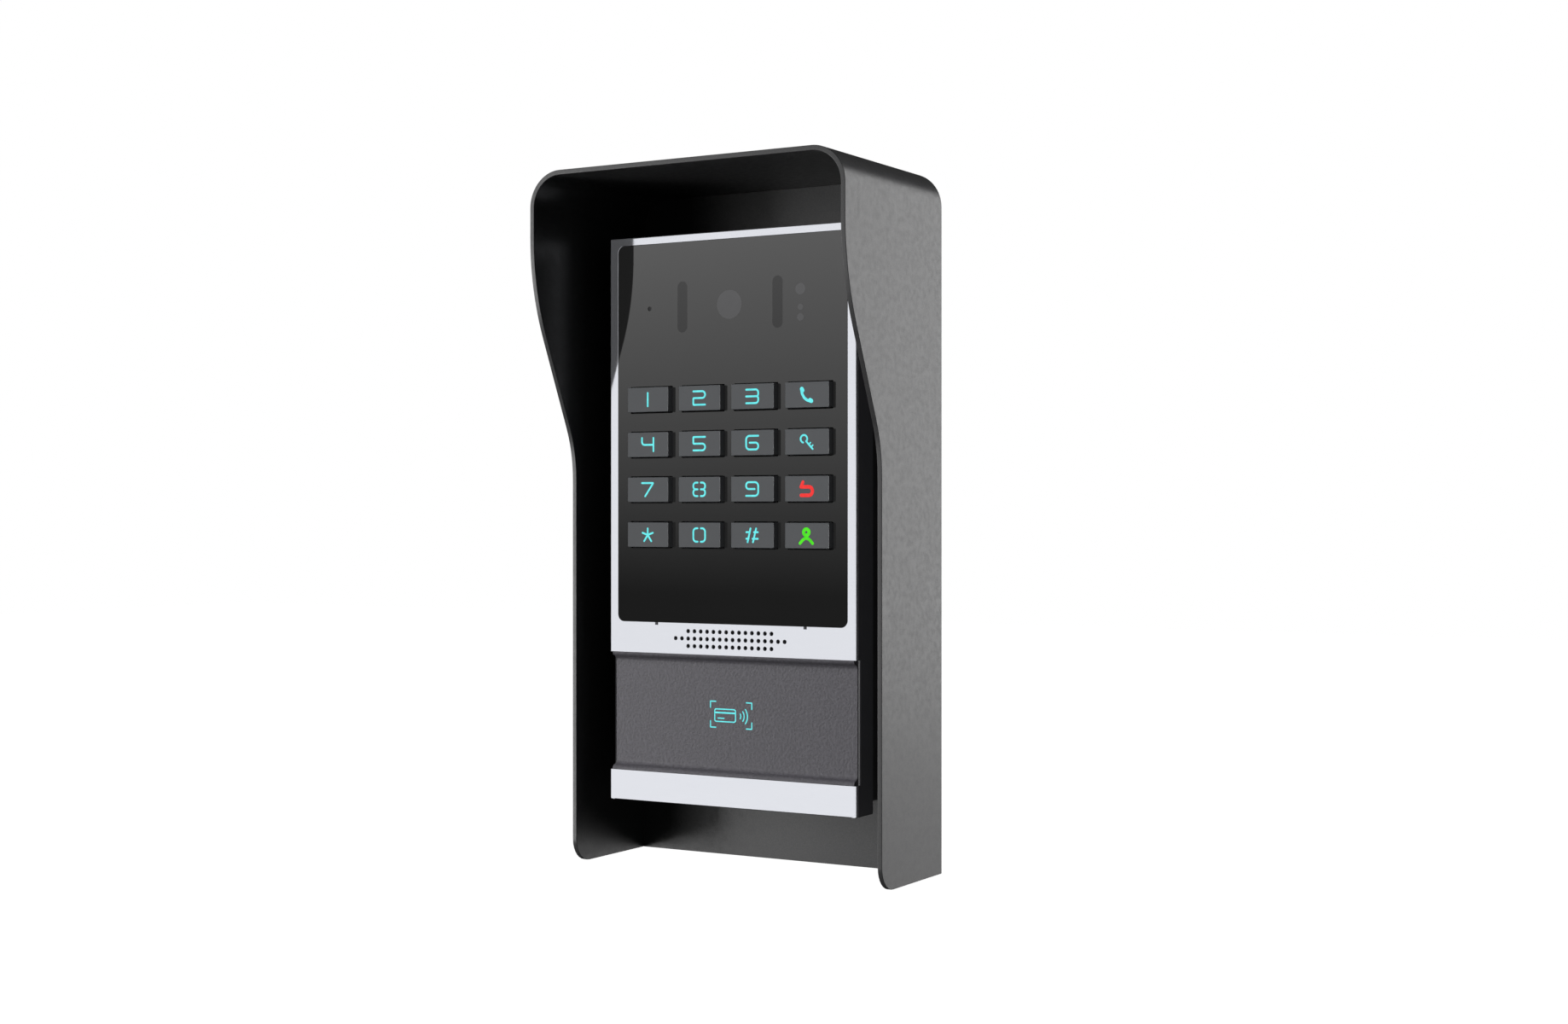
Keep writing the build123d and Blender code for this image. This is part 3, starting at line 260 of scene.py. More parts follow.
def window_glass(name, first, second, specular):
    """A patch of the glass without the black print, over something paler or darker."""
    material, tree, shader, coords = new_material(
        name, IOR=1.5, Roughness=0.04, **{"Specular IOR Level": specular}
    )
    tone = noise(tree, coords, 3.0 * MM, 1.0)
    tree.links.new(blend_colours(tree, tone, first, second), shader.inputs["Base Color"])
    return material


def leather_grain_abs():
    """Moulded ABS with a fine leather grain: matt, with small cells between creases."""
    material, tree, shader, coords = new_material("moulded_abs_leather_grain", IOR=1.5)
    warp = node(tree, "ShaderNodeTexNoise", {"Scale": 1 / (1.6 * MM), "Detail": 2.0},
                {"Vector": coords})
    shift = node(tree, "ShaderNodeVectorMath", {"operation": "SCALE", "Scale": 0.5 * MM},
                 {0: warp.outputs["Color"]})
    moved = node(tree, "ShaderNodeVectorMath", {"operation": "ADD"},
                 {0: coords, 1: shift.outputs[0]})
    cells = node(tree, "ShaderNodeTexVoronoi", {"feature": "SMOOTH_F1", "Scale": 1 / (1.0 * MM)},
                 {"Vector": moved.outputs[0]}).outputs["Distance"]
    grit = noise(tree, coords, 0.5 * MM, 3.0)
    height = node(tree, "ShaderNodeMath", {"operation": "MULTIPLY_ADD", 1: 0.6},
                  {0: grit, 2: cells}).outputs[0]
    tone = span(tree, height, 0.0, 1.0, 0.4, 1.0)
    tree.links.new(blend_colours(tree, tone, "#656369", "#76747B"), shader.inputs["Base Color"])
    tree.links.new(span(tree, cells, 0.5, 0.62), shader.inputs["Roughness"])
    bump(tree, shader, height, 0.12 * MM)
    return material


def key_plastic():
    """Moulded smoke-grey acrylic caps, satin, with a fine spark-eroded texture."""
    material, tree, shader, coords = new_material("smoke_acrylic_keycap_satin", IOR=1.49)
    fine = noise(tree, coords, 0.35 * MM, 3.0)
    wide = noise(tree, coords, 7 * MM, 1.0)
    tree.links.new(blend_colours(tree, fine, "#4D4F51", "#55575A"), shader.inputs["Base Color"])
    tree.links.new(span(tree, wide, 0.3, 0.34, 0.3, 0.7), shader.inputs["Roughness"])
    bump(tree, shader, fine, 0.005 * MM)
    return material


def lit_legend(name, bright, soft, strength):
    """Translucent print lit from behind: the light is a little uneven along a stroke."""
    settings = {"Roughness": 0.5, "Specular IOR Level": 0.1, "Emission Strength": strength}
    material, tree, shader, coords = new_material(name, **settings)
    cloud = noise(tree, coords, 1.8 * MM, 1.0)
    colour = blend_colours(tree, span(tree, cloud, 0.0, 1.0, 0.35, 0.65), bright, soft)
    tree.links.new(colour, shader.inputs["Emission Color"])
    shade = blend_colours(tree, cloud, "#0C1414", "#101818")
    tree.links.new(shade, shader.inputs["Base Color"])
    return material


def circuit_board():
    """Green solder mask on glass-epoxy, with paler copper tracks just under it."""
    material, tree, shader, coords = new_material("glass_epoxy_green_solder_mask", IOR=1.55)
    grid = node(tree, "ShaderNodeTexVoronoi",
                {"feature": "DISTANCE_TO_EDGE", "distance": "EUCLIDEAN", "Scale": 1 / (3.2 * MM)},
                {"Vector": coords}).outputs["Distance"]
    track = span(tree, grid, 1.0, 0.0, 0.05, 0.09)
    tree.links.new(blend_colours(tree, track, "#0E3B22", "#1F6238"), shader.inputs["Base Color"])
    weave = noise(tree, coords, 0.5 * MM, 2.0)
    tree.links.new(span(tree, weave, 0.28, 0.4), shader.inputs["Roughness"])
    bump(tree, shader, track, 0.035 * MM)
    return material


def zinc_plate():
    """Zinc-plated sheet steel: bluish grey metal with faint crystals."""
    material, tree, shader, coords = new_material("zinc_plated_steel_sheet", Metallic=1.0)
    crystals = node(tree, "ShaderNodeTexVoronoi", {"Scale": 1 / (5 * MM)},
                    {"Vector": coords}).outputs["Distance"]
    tree.links.new(blend_colours(tree, crystals, "#A3A8AD", "#BCC0C4"),
                   shader.inputs["Base Color"])
    fine = noise(tree, coords, 0.5 * MM, 3.0)
    tree.links.new(span(tree, fine, 0.3, 0.42), shader.inputs["Roughness"])
    bump(tree, shader, fine, 0.004 * MM)
    return material


def woven_mesh():
    """Black steel dust mesh: crossing wires at a half-millimetre pitch."""
    material, tree, shader, coords = new_material("steel_mesh_black", Metallic=0.6)
    across = node(tree, "ShaderNodeTexWave", {"Scale": 1 / (1.6 * MM), "bands_direction": "X"},
                  {"Vector": coords}).outputs["Fac"]
    along = node(tree, "ShaderNodeTexWave", {"Scale": 1 / (1.6 * MM), "bands_direction": "Z"},
                 {"Vector": coords}).outputs["Fac"]
    wires = node(tree, "ShaderNodeMath", {"operation": "MAXIMUM"},
                 {0: across, 1: along}).outputs[0]
    tree.links.new(blend_colours(tree, wires, "#020202", "#161617"), shader.inputs["Base Color"])
    tree.links.new(span(tree, wires, 0.7, 0.45), shader.inputs["Roughness"])
    bump(tree, shader, wires, 0.05 * MM)
    return material


finishes = {
    # Dark polyester powder coat over sheet steel.
    "hood_paint": powder_coated_steel(),
    "zinc_steel": zinc_plate(),
    # Bright stainless screws with turning marks too fine to see apart.
    "screw_steel": grained("stainless_steel_turned", "#B5B6B8", "#C9CACC", 0.26, 0.4 * MM,
                           0.004 * MM, Metallic=1.0),
    # Spark-eroded black ABS: matt, with a grit that catches the light.
    "black_abs": grained("moulded_abs_black_fine_grit", "#242426", "#2B2B2E", 0.42, 0.35 * MM,
                         0.012 * MM, IOR=1.5),
    "inner_abs": grained("moulded_abs_black_plain", "#0B0B0C", "#101011", 0.5, 0.6 * MM,
                         0.008 * MM, IOR=1.5),
    "silver_plate": satin_silver(),
    "smoked_glass": smoked_glass(),
    "card_abs": leather_grain_abs(),
    "key_cap": key_plastic(),
    # Soft translucent grey silicone, slightly dusty.
    "silicone": grained("silicone_rubber_grey", "#6E7174", "#7A7D80", 0.6, 0.8 * MM,
                        0.01 * MM, IOR=1.41),
    "black_rubber": grained("moulded_rubber_black", "#121212", "#1B1B1B", 0.68, 0.5 * MM,
                            0.015 * MM, IOR=1.52),
    "circuit_board": circuit_board(),
    # Pressed stainless domes: bright and smooth.
    "snap_dome": grained("stainless_steel_pressed", "#C4C5C7", "#D2D3D5", 0.2, 0.5 * MM,
                         0.002 * MM, Metallic=1.0),
    # Tin-plated can over the processor: soft grey metal with a faint cloud.
    "tin_can": grained("tin_plated_steel_drawn", "#B9BBBC", "#C6C8C9", 0.32, 1.2 * MM,
                       0.003 * MM, Metallic=1.0),
    "connector_plastic": grained("moulded_nylon_ivory", "#CFC8B4", "#D8D2C0", 0.46, 0.5 * MM,
                                 0.008 * MM, IOR=1.53),
    "terminal_green": grained("moulded_nylon_green", "#1E7A3C", "#258746", 0.42, 0.5 * MM,
                              0.008 * MM, IOR=1.53),
    # Coated lens: nearly black, with a violet cast.
    "lens_glass": grained("coated_lens_glass", "#0B0912", "#120E1C", 0.06, 2.0 * MM,
                          0.0005 * MM, IOR=1.6),
    "light_acrylic": grained("opal_acrylic_diffuser", "#D9DCDA", "#E4E6E4", 0.38, 0.6 * MM,
                             0.004 * MM, IOR=1.49),
    "smoked_acrylic": grained("smoked_acrylic_moulded", "#241F22", "#2D272B", 0.15, 1.0 * MM,
                              0.001 * MM, IOR=1.49),
    # White ceramic packages with a yellow phosphor cast.
    "led_package": grained("led_package_phosphor", "#E3DDA6", "#EEE9C4", 0.4, 0.5 * MM,
                           0.006 * MM, IOR=1.5),
    "mic_can": grained("nickel_plated_can", "#B4B2AC", "#C2C0BA", 0.28, 0.5 * MM,
                       0.003 * MM, Metallic=1.0),
    "speaker_plastic": grained("moulded_abs_black_speaker", "#121214", "#19191B", 0.5,
                               0.5 * MM, 0.01 * MM, IOR=1.5),
    "speaker_paper": grained("doped_paper_cone", "#1D1B19", "#2A2724", 0.8, 0.5 * MM,
                             0.03 * MM, IOR=1.45),
    "magnet": grained("nickel_plated_magnet", "#9C9DA0", "#ADAEB1", 0.3, 0.8 * MM,
                      0.004 * MM, Metallic=1.0),
    "steel_mesh": woven_mesh(),
    "copper": grained("etched_copper_track", "#B4673F", "#C47A50", 0.3, 0.6 * MM,
                      0.004 * MM, Metallic=1.0),
    "jack_shell": grained("nickel_plated_shell", "#AEB0B3", "#BEC0C3", 0.25, 0.7 * MM,
                          0.003 * MM, Metallic=1.0),
}
cyan_light = lit_legend("legend_print_cyan_lit", "#72F6F7", "#66E8EC", 1.0)
red_light = lit_legend("legend_print_red_lit", "#F93A38", "#EE3230", 1.0)
green_light = lit_legend("legend_print_green_lit", "#55EC22", "#48DC1C", 1.0)
# Clear patch of glass over the camera and the sensors: paler than the black print around it.
clear_window = window_glass("clear_glass_over_sensor", "#3B3B3D", "#404042", 0.5)
# Glass over the fill lights, toned darker by an infrared-passing print.
dark_window = window_glass("infrared_print_on_glass", "#0A0A0B", "#101011", 0.38)
# Grey dust gauze over the microphone.
grey_gauze = grained("woven_polyester_gauze_grey", "#3E3E40", "#5A5A5C", 0.7, 0.3 * MM, 0.02 * MM)

# ---------------------------------------------------------------- modelling helpers


def only(piece):
    """Select one object and nothing else."""
    bpy.ops.object.select_all(action="DESELECT")
    piece.select_set(True)
    bpy.context.view_layer.objects.active = piece
    return piece


def block(name, low, high):
    """A box between two corners, to be shaped."""
    low, high = Vector(low), Vector(high)
    bpy.ops.object.select_all(action="DESELECT")
    bpy.ops.mesh.primitive_cube_add(size=1, location=(low + high) / 2)
    piece = bpy.context.object
    piece.name = name
    piece.scale = high - low
    bpy.ops.object.transform_apply(location=True, rotation=True, scale=True)
    return piece


def peg(name, spot, radius, front, back, sides=32):
    """A round bar along Y at spot (x, z), from the front depth to the back depth."""
    bpy.ops.object.select_all(action="DESELECT")
    bpy.ops.mesh.primitive_cylinder_add(
        vertices=sides, radius=radius, depth=front - back,
        location=(spot[0], -(front + back) / 2, spot[1]), rotation=(math.pi / 2, 0, 0),
    )
    piece = bpy.context.object
    piece.name = name
    bpy.ops.object.transform_apply(location=True, rotation=True, scale=True)
    return piece


def pick(piece, kind, test):
    """In edit mode, select the vertices, edges or faces that pass a test."""
    bpy.ops.mesh.select_mode(type=kind)
    bpy.ops.mesh.select_all(action="DESELECT")
    mesh = bmesh.from_edit_mesh(piece.data)
    mesh.normal_update()
    for element in {"VERT": mesh.verts, "EDGE": mesh.edges, "FACE": mesh.faces}[kind]:
        element.select_set(bool(test(element)))
    bmesh.update_edit_mesh(piece.data)


def edit(piece):
    only(piece)
    bpy.ops.object.mode_set(mode="EDIT")


def done():
    bpy.ops.object.mode_set(mode="OBJECT")


def middle(edge):
    return (edge.verts[0].co + edge.verts[1].co) / 2


def runs_along(edge, axis):
    """True for an edge parallel to axis 0, 1 or 2."""
    step = edge.verts[0].co - edge.verts[1].co
    return abs(step[axis]) > 0.999 * step.length


def round_corners(piece, radius, segments, wanted=lambda edge: True):
    """Round the edges that run along Y."""
    edit(piece)
    pick(piece, "EDGE", lambda edge: runs_along(edge, 1) and wanted(edge))
    bpy.ops.mesh.bevel(offset=radius, segments=segments, affect="EDGES")
    done()


def apply_modifier(piece, kind, **settings):
    """Add a modifier with its settings and apply it."""
    only(piece)
    modifier = piece.modifiers.new(kind.title(), kind)
    for name, value in settings.items():
        setattr(modifier, name, value)
    bpy.ops.object.modifier_apply(modifier=modifier.name)


def cut(piece, tool):
    """Take a tool's shape out of a piece."""
    apply_modifier(piece, "BOOLEAN", operation="DIFFERENCE", solver="EXACT", object=tool)
    bpy.data.objects.remove(tool)


def join(pieces, name):
    """One object from several."""
    only(pieces[0])
    for piece in pieces[1:]:
        piece.select_set(True)
    if len(pieces) > 1:
        bpy.ops.object.join()
    joined = bpy.context.object
    joined.name = name
    return joined


def copied(piece, name, offset):
    """A copy with its own mesh, moved by an offset in its mesh."""
    twin = piece.copy()
    twin.data = piece.data.copy()
    twin.name = name
    bpy.context.scene.collection.objects.link(twin)
    twin.data.transform(Matrix.Translation(offset))
    return twin


def soften(piece, edge, segments=2, sharper_than=40):
    """Round the sharp edges a little, and shade the rest smooth."""
    apply_modifier(
        piece, "BEVEL", width=edge, segments=segments, limit_method="ANGLE",
        angle_limit=math.radians(sharper_than), harden_normals=False, use_clamp_overlap=True,
    )
    only(piece)
    bpy.ops.object.shade_smooth_by_angle(angle=math.radians(sharper_than))
    apply_modifier(piece, "WEIGHTED_NORMAL", keep_sharp=True, weight=80)


def dress(piece, body, slot, *nodes, material=None):
    """Give a finished piece its material (its slot's finish unless one is given) and its body, and
    hide the CAD nodes that it stands for.
    """
    piece.data.materials.clear()
    piece.data.materials.append(material or finishes[slot])
    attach(piece, body)
    if nodes:
        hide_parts(*nodes)
    return piece


def cleaned_copy(source, name):
    """A copy of a CAD node with its loose triangles merged into clean faces."""
    piece = frame["nodes"][source].copy()
    piece.data = piece.data.copy()
    piece.parent = None
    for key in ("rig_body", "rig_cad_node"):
        del piece[key]
    piece.name = name
    bpy.context.scene.collection.objects.link(piece)
    edit(piece)
    bpy.ops.mesh.select_all(action="SELECT")
    bpy.ops.mesh.remove_doubles(threshold=0.002 * MM)
    bpy.ops.mesh.dissolve_limited(angle_limit=math.radians(0.5))
    done()
    return piece


# ---------------------------------------------------------------- rain hood


def arc_steps(angle, count):
    """Angles from 0 to angle, evenly spaced."""
    return [angle * step / count for step in range(count + 1)]


def hood_profile(top, bottom, depth):
    """Points (height, reach) of the side's front edge, from the foot up to the visor."""
    lean = math.atan2(depth - skirt_reach, skirt_drop - visor_drop)
    skirt_run = skirt_bend * math.tan(lean / 2)
    visor_run = visor_bend * math.tan(lean / 2)
    points = [
        (bottom + hood_foot_radius * (1 - math.cos(a)),
         skirt_reach - hood_foot_radius * (1 - math.sin(a)))
        for a in arc_steps(math.pi / 2, 8)
    ]
    points += [
        (top - skirt_drop - skirt_run + skirt_bend * math.sin(a),
         skirt_reach + skirt_bend * (1 - math.cos(a)))
        for a in arc_steps(lean, 10)
    ]
    points += [
        (top - visor_drop + visor_run - visor_bend * math.sin(a),
         depth - visor_bend * (1 - math.cos(a)))
        for a in reversed(arc_steps(lean, 12))
    ]
    return points


def rain_hood():
    """One bent sheet: two sides and a roof, the sides' front edges sweeping in downwards."""
    low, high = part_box("hood_shell")
    hood = block("rain_hood", low, high)
    edit(hood)
    pick(hood, "FACE", lambda face: abs(face.normal.x) < 0.5 and face.normal.z < 0.5)
    bpy.ops.mesh.delete(type="FACE")
    pick(hood, "EDGE", lambda edge: runs_along(edge, 1) and middle(edge).z > 0)
    bpy.ops.mesh.bevel(offset=hood_corner, segments=18, affect="EDGES")
    profile = hood_profile(high.z, low.z, -low.y)
    for height, _ in profile:
        bpy.ops.mesh.select_all(action="SELECT")
        bpy.ops.mesh.bisect(plane_co=(0, 0, height), plane_no=(0, 0, 1))
    for height, reach in profile:
        pick(
            hood, "VERT",
            lambda v: abs(v.co.z - height) < HAIR and v.co.y < low.y + HAIR,
        )
        bpy.ops.transform.translate(value=(0, -low.y - reach, 0))
    done()
    apply_modifier(hood, "SOLIDIFY", thickness=hood_sheet, offset=-1, use_even_offset=True)
    soften(hood, hood_softness, 3, 50)
    dress(hood, "housing", "hood_paint", "hood_shell")


def back_plate():
    """Flat plate at the back of the hood, with its punched holes slightly rounded."""
    plate = cleaned_copy("hood_back_plate", "hood_plate")
    soften(plate, back_plate_softness, 2, 50)
    dress(plate, "housing", "hood_paint", "hood_back_plate")


# ---------------------------------------------------------------- face of the panel


def rounded_block(name, low, high, radius, segments=6):
    piece = block(name, low, high)
    round_corners(piece, radius, segments)
    return piece


def key_centre(name):
    low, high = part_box(name)
    return (low.x + high.x) / 2, (low.z + high.z) / 2


def bezel():
    """Upper metal plate: frames the glass and carries the speaker holes."""
    low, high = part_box("bezel_plate")
    glass_low, glass_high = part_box("glass_window")
    plate = block("bezel_frame", low, high)
    round_corners(plate, plate_corner, 4, lambda edge: middle(edge).z > 0)
    ease_outline(plate, low, high, ("sides", "top"))
    through = Vector((0, 5 * MM, 0))
    grow = Vector((plate_gap, 0, plate_gap))
    opening = rounded_block(
        "opening", glass_low - grow - through, glass_high + grow + through,
        glass_corner + plate_gap, 10,
    )
    cut(plate, opening)
    for side in (-1, 1):
        centre = Vector((side * notch_offset, 0, glass_low.z))
        half = Vector((notch_width / 2, 0, notch_depth))
        notch = block(
            "notch", centre - half + Vector((0, low.y - MM, 0)),
            centre + half + Vector((0, high.y + MM, 0)),
        )
        cut(plate, notch)
    speaker_line = (low.z + glass_low.z) / 2
    first = peg("hole", (0, speaker_line), grille_hole_radius, -low.y + MM, -high.y - MM, 20)
    holes = []
    for row, count in enumerate(grille_rows):
        for index in range(count):
            x = (index - (count - 1) / 2) * grille_pitch
            holes.append(copied(first, "hole_copy", Vector((x, 0, (row - 1) * grille_pitch))))
    bpy.data.objects.remove(first)
    cut(plate, join(holes, "holes"))
    soften(plate, bezel_softness, 2, 50)
    dress(plate, "housing", "silver_plate", "bezel_plate")


def ease_outline(plate, low, high, sides):
    """Round a plate's front outline where it ends in the open."""
    def in_the_open(edge):
        spot = middle(edge)
        if spot.y > low.y + HAIR or runs_along(edge, 1):
            return False
        return (
            "sides" in sides and abs(spot.x) > high.x - plate_corner
            or "top" in sides and spot.z > high.z - plate_corner
        )

    edit(plate)
    pick(plate, "EDGE", in_the_open)
    bpy.ops.mesh.bevel(offset=plate_edge, segments=5, affect="EDGES")
    done()


def lower_trim():
    """Lower metal strip, its bottom edge turned back with a wider chamfer."""
    low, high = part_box("trim_plate")
    plate = block("lower_trim", low, high)
    round_corners(plate, plate_corner, 4, lambda edge: middle(edge).z < low.z + MM)
    ease_outline(plate, low, high, ("sides",))
    edit(plate)
    pick(
        plate, "EDGE",
        lambda edge: runs_along(edge, 0) and middle(edge).y < low.y + HAIR
        and middle(edge).z < low.z + HAIR,
    )
    bpy.ops.mesh.bevel(offset=trim_chamfer, segments=1, affect="EDGES")
    done()
    soften(plate, trim_softness, 2, 50)
    dress(plate, "housing", "silver_plate", "trim_plate")


def glass():
    """Black-backed glass with sixteen key openings and the microphone hole."""
    low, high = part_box("glass_window")
    pane = rounded_block("front_glass", low, high, glass_corner, 10)
    through = Vector((0, 5 * MM, 0))
    openings = []
    for name in key_names:
        key_low, key_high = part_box(name)
        shrink = Vector((key_flange - key_gap, 0, key_flange - key_gap))
        openings.append(rounded_block(
            "opening", key_low + shrink - through, key_high - shrink + through,
            opening_corner, 4,
        ))
    cut(pane, join(openings, "openings"))
    spot = (-microphone_offset, high.z - camera_drop)
    cut(pane, peg("hole", spot, microphone_radius, -low.y + MM, -high.y - MM, 24))
    soften(pane, glass_softness, 2, 50)
    dress(pane, "housing", "smoked_glass", "glass_window")


def window_patches():
    """Camera, fill light and sensor windows, seen as patches flush in the glass."""
    low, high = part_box("glass_window")
    axis = high.z - camera_drop
    front = -low.y + patch_proud
    back = -low.y - patch_sunk
    camera = peg("camera_window", (0, axis), camera_window_radius, front, back, 96)
    dress(camera, "housing", "smoked_glass", material=clear_window)
    for side, name in ((-1, "fill_light_window_left"), (1, "fill_light_window_right")):
        bar = peg(name, (side * light_bar_offset, axis), light_bar_width / 2, front, back, 48)
        edit(bar)
        reach = light_bar_height / 2 - light_bar_width / 2
        for end in (-1, 1):
            pick(bar, "VERT", lambda v: (v.co.z - axis) * end > HAIR)
            bpy.ops.transform.translate(value=(0, 0, end * reach))
        done()
        dress(bar, "housing", "smoked_glass", material=dark_window)
    gauze = peg(
        "microphone_gauze", (-microphone_offset, axis), microphone_radius,
        -low.y - gauze_front, -low.y - gauze_back, 24,
    )
    dress(gauze, "housing", "steel_mesh", material=grey_gauze)
    dots = [
        peg("dot", (sensor_offset, axis + rise), radius, front, back, 48)
        for rise, radius in sensor_windows
    ]
    dress(join(dots, "sensor_windows"), "housing", "smoked_glass", material=clear_window)


def ramp_depth(run):
    """How far the card cover's S-shaped ramp has dipped after a run."""
    radius = ((ramp_run / 2) ** 2 + (card_recess / 2) ** 2) / card_recess
    if run > ramp_run:
        return card_recess
    if run > ramp_run / 2:
        return card_recess - ramp_depth(ramp_run - run)
    return radius - math.sqrt(radius ** 2 - run ** 2)


def card_panel():
    """Card reader cover: sunk below the panel face, with a soft ramp above and below."""
    low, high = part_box("card_cover")
    cover = block("card_panel", low, high)
    runs = [ramp_run * (step / ramp_steps) for step in range(1, ramp_steps + 1)]
    heights = [low.z + run for run in runs] + [high.z - run for run in runs]
    edit(cover)
    for height in heights:
        bpy.ops.mesh.select_all(action="SELECT")
        bpy.ops.mesh.bisect(plane_co=(0, 0, height), plane_no=(0, 0, 1))
    for height in heights:
        dip = ramp_depth(min(height - low.z, high.z - height))
        pick(cover, "VERT", lambda v: abs(v.co.z - height) < HAIR and v.co.y < low.y + HAIR)
        bpy.ops.transform.translate(value=(0, dip, 0))
    done()
    soften(cover, card_softness, 3, 60)
    dress(cover, "housing", "card_abs", "card_cover")


# ---------------------------------------------------------------- keys


def key_cap():
    """One key at the centre of the pad's plane: cap and flange behind the glass."""
    low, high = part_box("key_1")
    width = high.x - low.x - 2 * key_flange
    height = high.z - low.z - 2 * key_flange
    flange_front = low.y + key_face_to_flange
    cap = block(
        "key_cap", (-width / 2, low.y, -height / 2), (width / 2, flange_front, height / 2)
    )
    round_corners(cap, key_corner, 4)
    edit(cap)
    pick(cap, "FACE", lambda face: face.normal.y > 0.9)
    bpy.ops.mesh.inset(thickness=key_flange, use_outset=True)
    bpy.ops.mesh.extrude_region_move(
        TRANSFORM_OT_translate={"value": (0, key_flange_thickness, 0)}
    )
    done()
    return cap, flange_front


# Legends: strokes as points (x, z) in mm from the key's centre, each point with the radius of its
# turn where it isn't sharp.
W, H = 2.9, 2.8
digit_strokes = {
    "key_1": [[(0, H), (0, -H)]],
    "key_2": [[(-W, H), (W, H, 1.4), (W, 0, 1.4), (-W, 0, 0.3), (-W, -H, 0.3), (W, -H)]],
    "key_3": [[(-W, H), (W, H, 1.3), (W, 0, 0.9), (-W, 0)],
              [(-W + 1, 0), (W, 0, 0.9), (W, -H, 1.3), (-W, -H)]],
    "key_4": [[(-W, H), (-W, -0.1, 1.3), (W, -0.1)], [(W, H), (W, -H)]],
    "key_5": [[(W, H), (-W, H, 0.3), (-W, 0, 0.3), (W, 0, 1.4), (W, -H, 1.4), (-W, -H)]],
    "key_6": [[(W, H), (-W, H, 1.6), (-W, -H, 1.6), (W, -H, 1.3), (W, 0, 1.3), (-1.2, 0)]],
    "key_7": [[(-W, H), (W - 0.1, H, 0.1), (-1.3, -H)]],
    "key_9": [[(-W, -H), (W, -H, 1.6), (W, H, 1.6), (-W, H, 1.3), (-W, 0, 1.3), (1.2, 0)]],
}


def mirrored(stroke):
    return [(-point[0], *point[1:]) for point in stroke]


left_of_eight = [(-0.8, H), (-W, H, 1.3), (-W, 0.05, 1.2), (-0.8, 0)]
under_eight = [(-0.8, 0), (-W, -0.05, 1.2), (-W, -H, 1.3), (-0.8, -H)]
left_of_zero = [(-0.8, H), (-W, H, 1.5), (-W, -H, 1.5), (-0.8, -H)]
digit_strokes["key_8"] = [
    left_of_eight, under_eight, mirrored(left_of_eight), mirrored(under_eight)
]
digit_strokes["key_0"] = [left_of_zero, mirrored(left_of_zero)]
digit_strokes["key_star"] = [
    [(0, -0.1), tip] for tip in ((0, 2.6), (-2.6, 0.8), (2.6, 0.8), (-1.8, -2.7), (1.8, -2.7))
]
digit_strokes["key_hash"] = [
    [(-0.8, H), (-2.2, -H)], [(1.9, H), (0.4, -H)],
    [(-2.8, 1.3), (-1.2, 1.3)], [(0.9, 1.3), (2.7, 1.3)],
    [(-2.8, -1.4), (-1.7, -1.4)], [(0.2, -1.4), (2.7, -1.4)],
]

def arc_points(centre, radius, start, end, count):
    """Points on an arc, angles in degrees."""
    angles = [math.radians(start + (end - start) * i / count) for i in range(count + 1)]
    return [(centre[0] + radius * math.cos(a), centre[1] + radius * math.sin(a)) for a in angles]


# Strokes of the picture keys, each with its own width: a handset, a door key, a return arrow and
# the head and shoulders of a contact.
picture_strokes = {
    "key_call": [
        ([(-2.45, 1.9), (-2.15, 0.4), (-1.2, -1.2), (0.1, -2.2), (1.5, -2.65)], 1.15),
        ([(-2.3, 2.35), (-1.95, 1.75)], 1.75),
        ([(1.55, -2.25), (2.15, -2.6)], 1.75),
    ],
    "key_unlock": [
        (arc_points((-1.3, 1.15), 1.55, 255, -40, 18), 0.75),
        ([(-0.3, 0.2), (2.75, -3.0)], 0.75),
        ([(1.0, -1.2), (1.75, -0.4)], 0.6),
        ([(2.05, -2.25), (2.85, -1.45)], 0.6),
    ],
    "key_back": [
        ([(-2.55, -2.7), (2.65, -2.7, 1.7), (2.65, 0.75, 1.7), (-2.6, 0.75)], 1.5),
        ([(-2.65, 0.8), (-1.75, 2.7)], 1.35),
    ],
    "key_contact": [
        (arc_points((-0.2, 1.4), 1.25, 90, 450, 24), 1.45),
        ([(-3.1, -3.1), (-2.1, -1.95), (-0.9, -1.1), (0.5, -1.1), (1.7, -1.95), (2.7, -3.1)], 1.3),
    ],
}
legend_colours = {"key_back": red_light, "key_contact": green_light}


def turned(points):
    """A stroke's points with each rounded turn drawn as an arc."""
    route = []
    for index, point in enumerate(points):
        here = Vector(point[:2])
        if len(point) < 3 or index in (0, len(points) - 1):
            route.append(here)
            continue
        before = (Vector(points[index - 1][:2]) - here).normalized()
        after = (Vector(points[index + 1][:2]) - here).normalized()
        half = before.angle(after) / 2
        radius = point[2]
        centre = here + (before + after).normalized() * (radius / math.sin(half))
        start = here + before * (radius / math.tan(half)) - centre
        end = here + after * (radius / math.tan(half)) - centre
        sweep = start.angle_signed(end)
        for step in arc_steps(sweep, 8):
            turn = Vector((
                start.x * math.cos(-step) - start.y * math.sin(-step),
                start.x * math.sin(-step) + start.y * math.cos(-step),
            ))
            route.append(centre + turn)
    return route


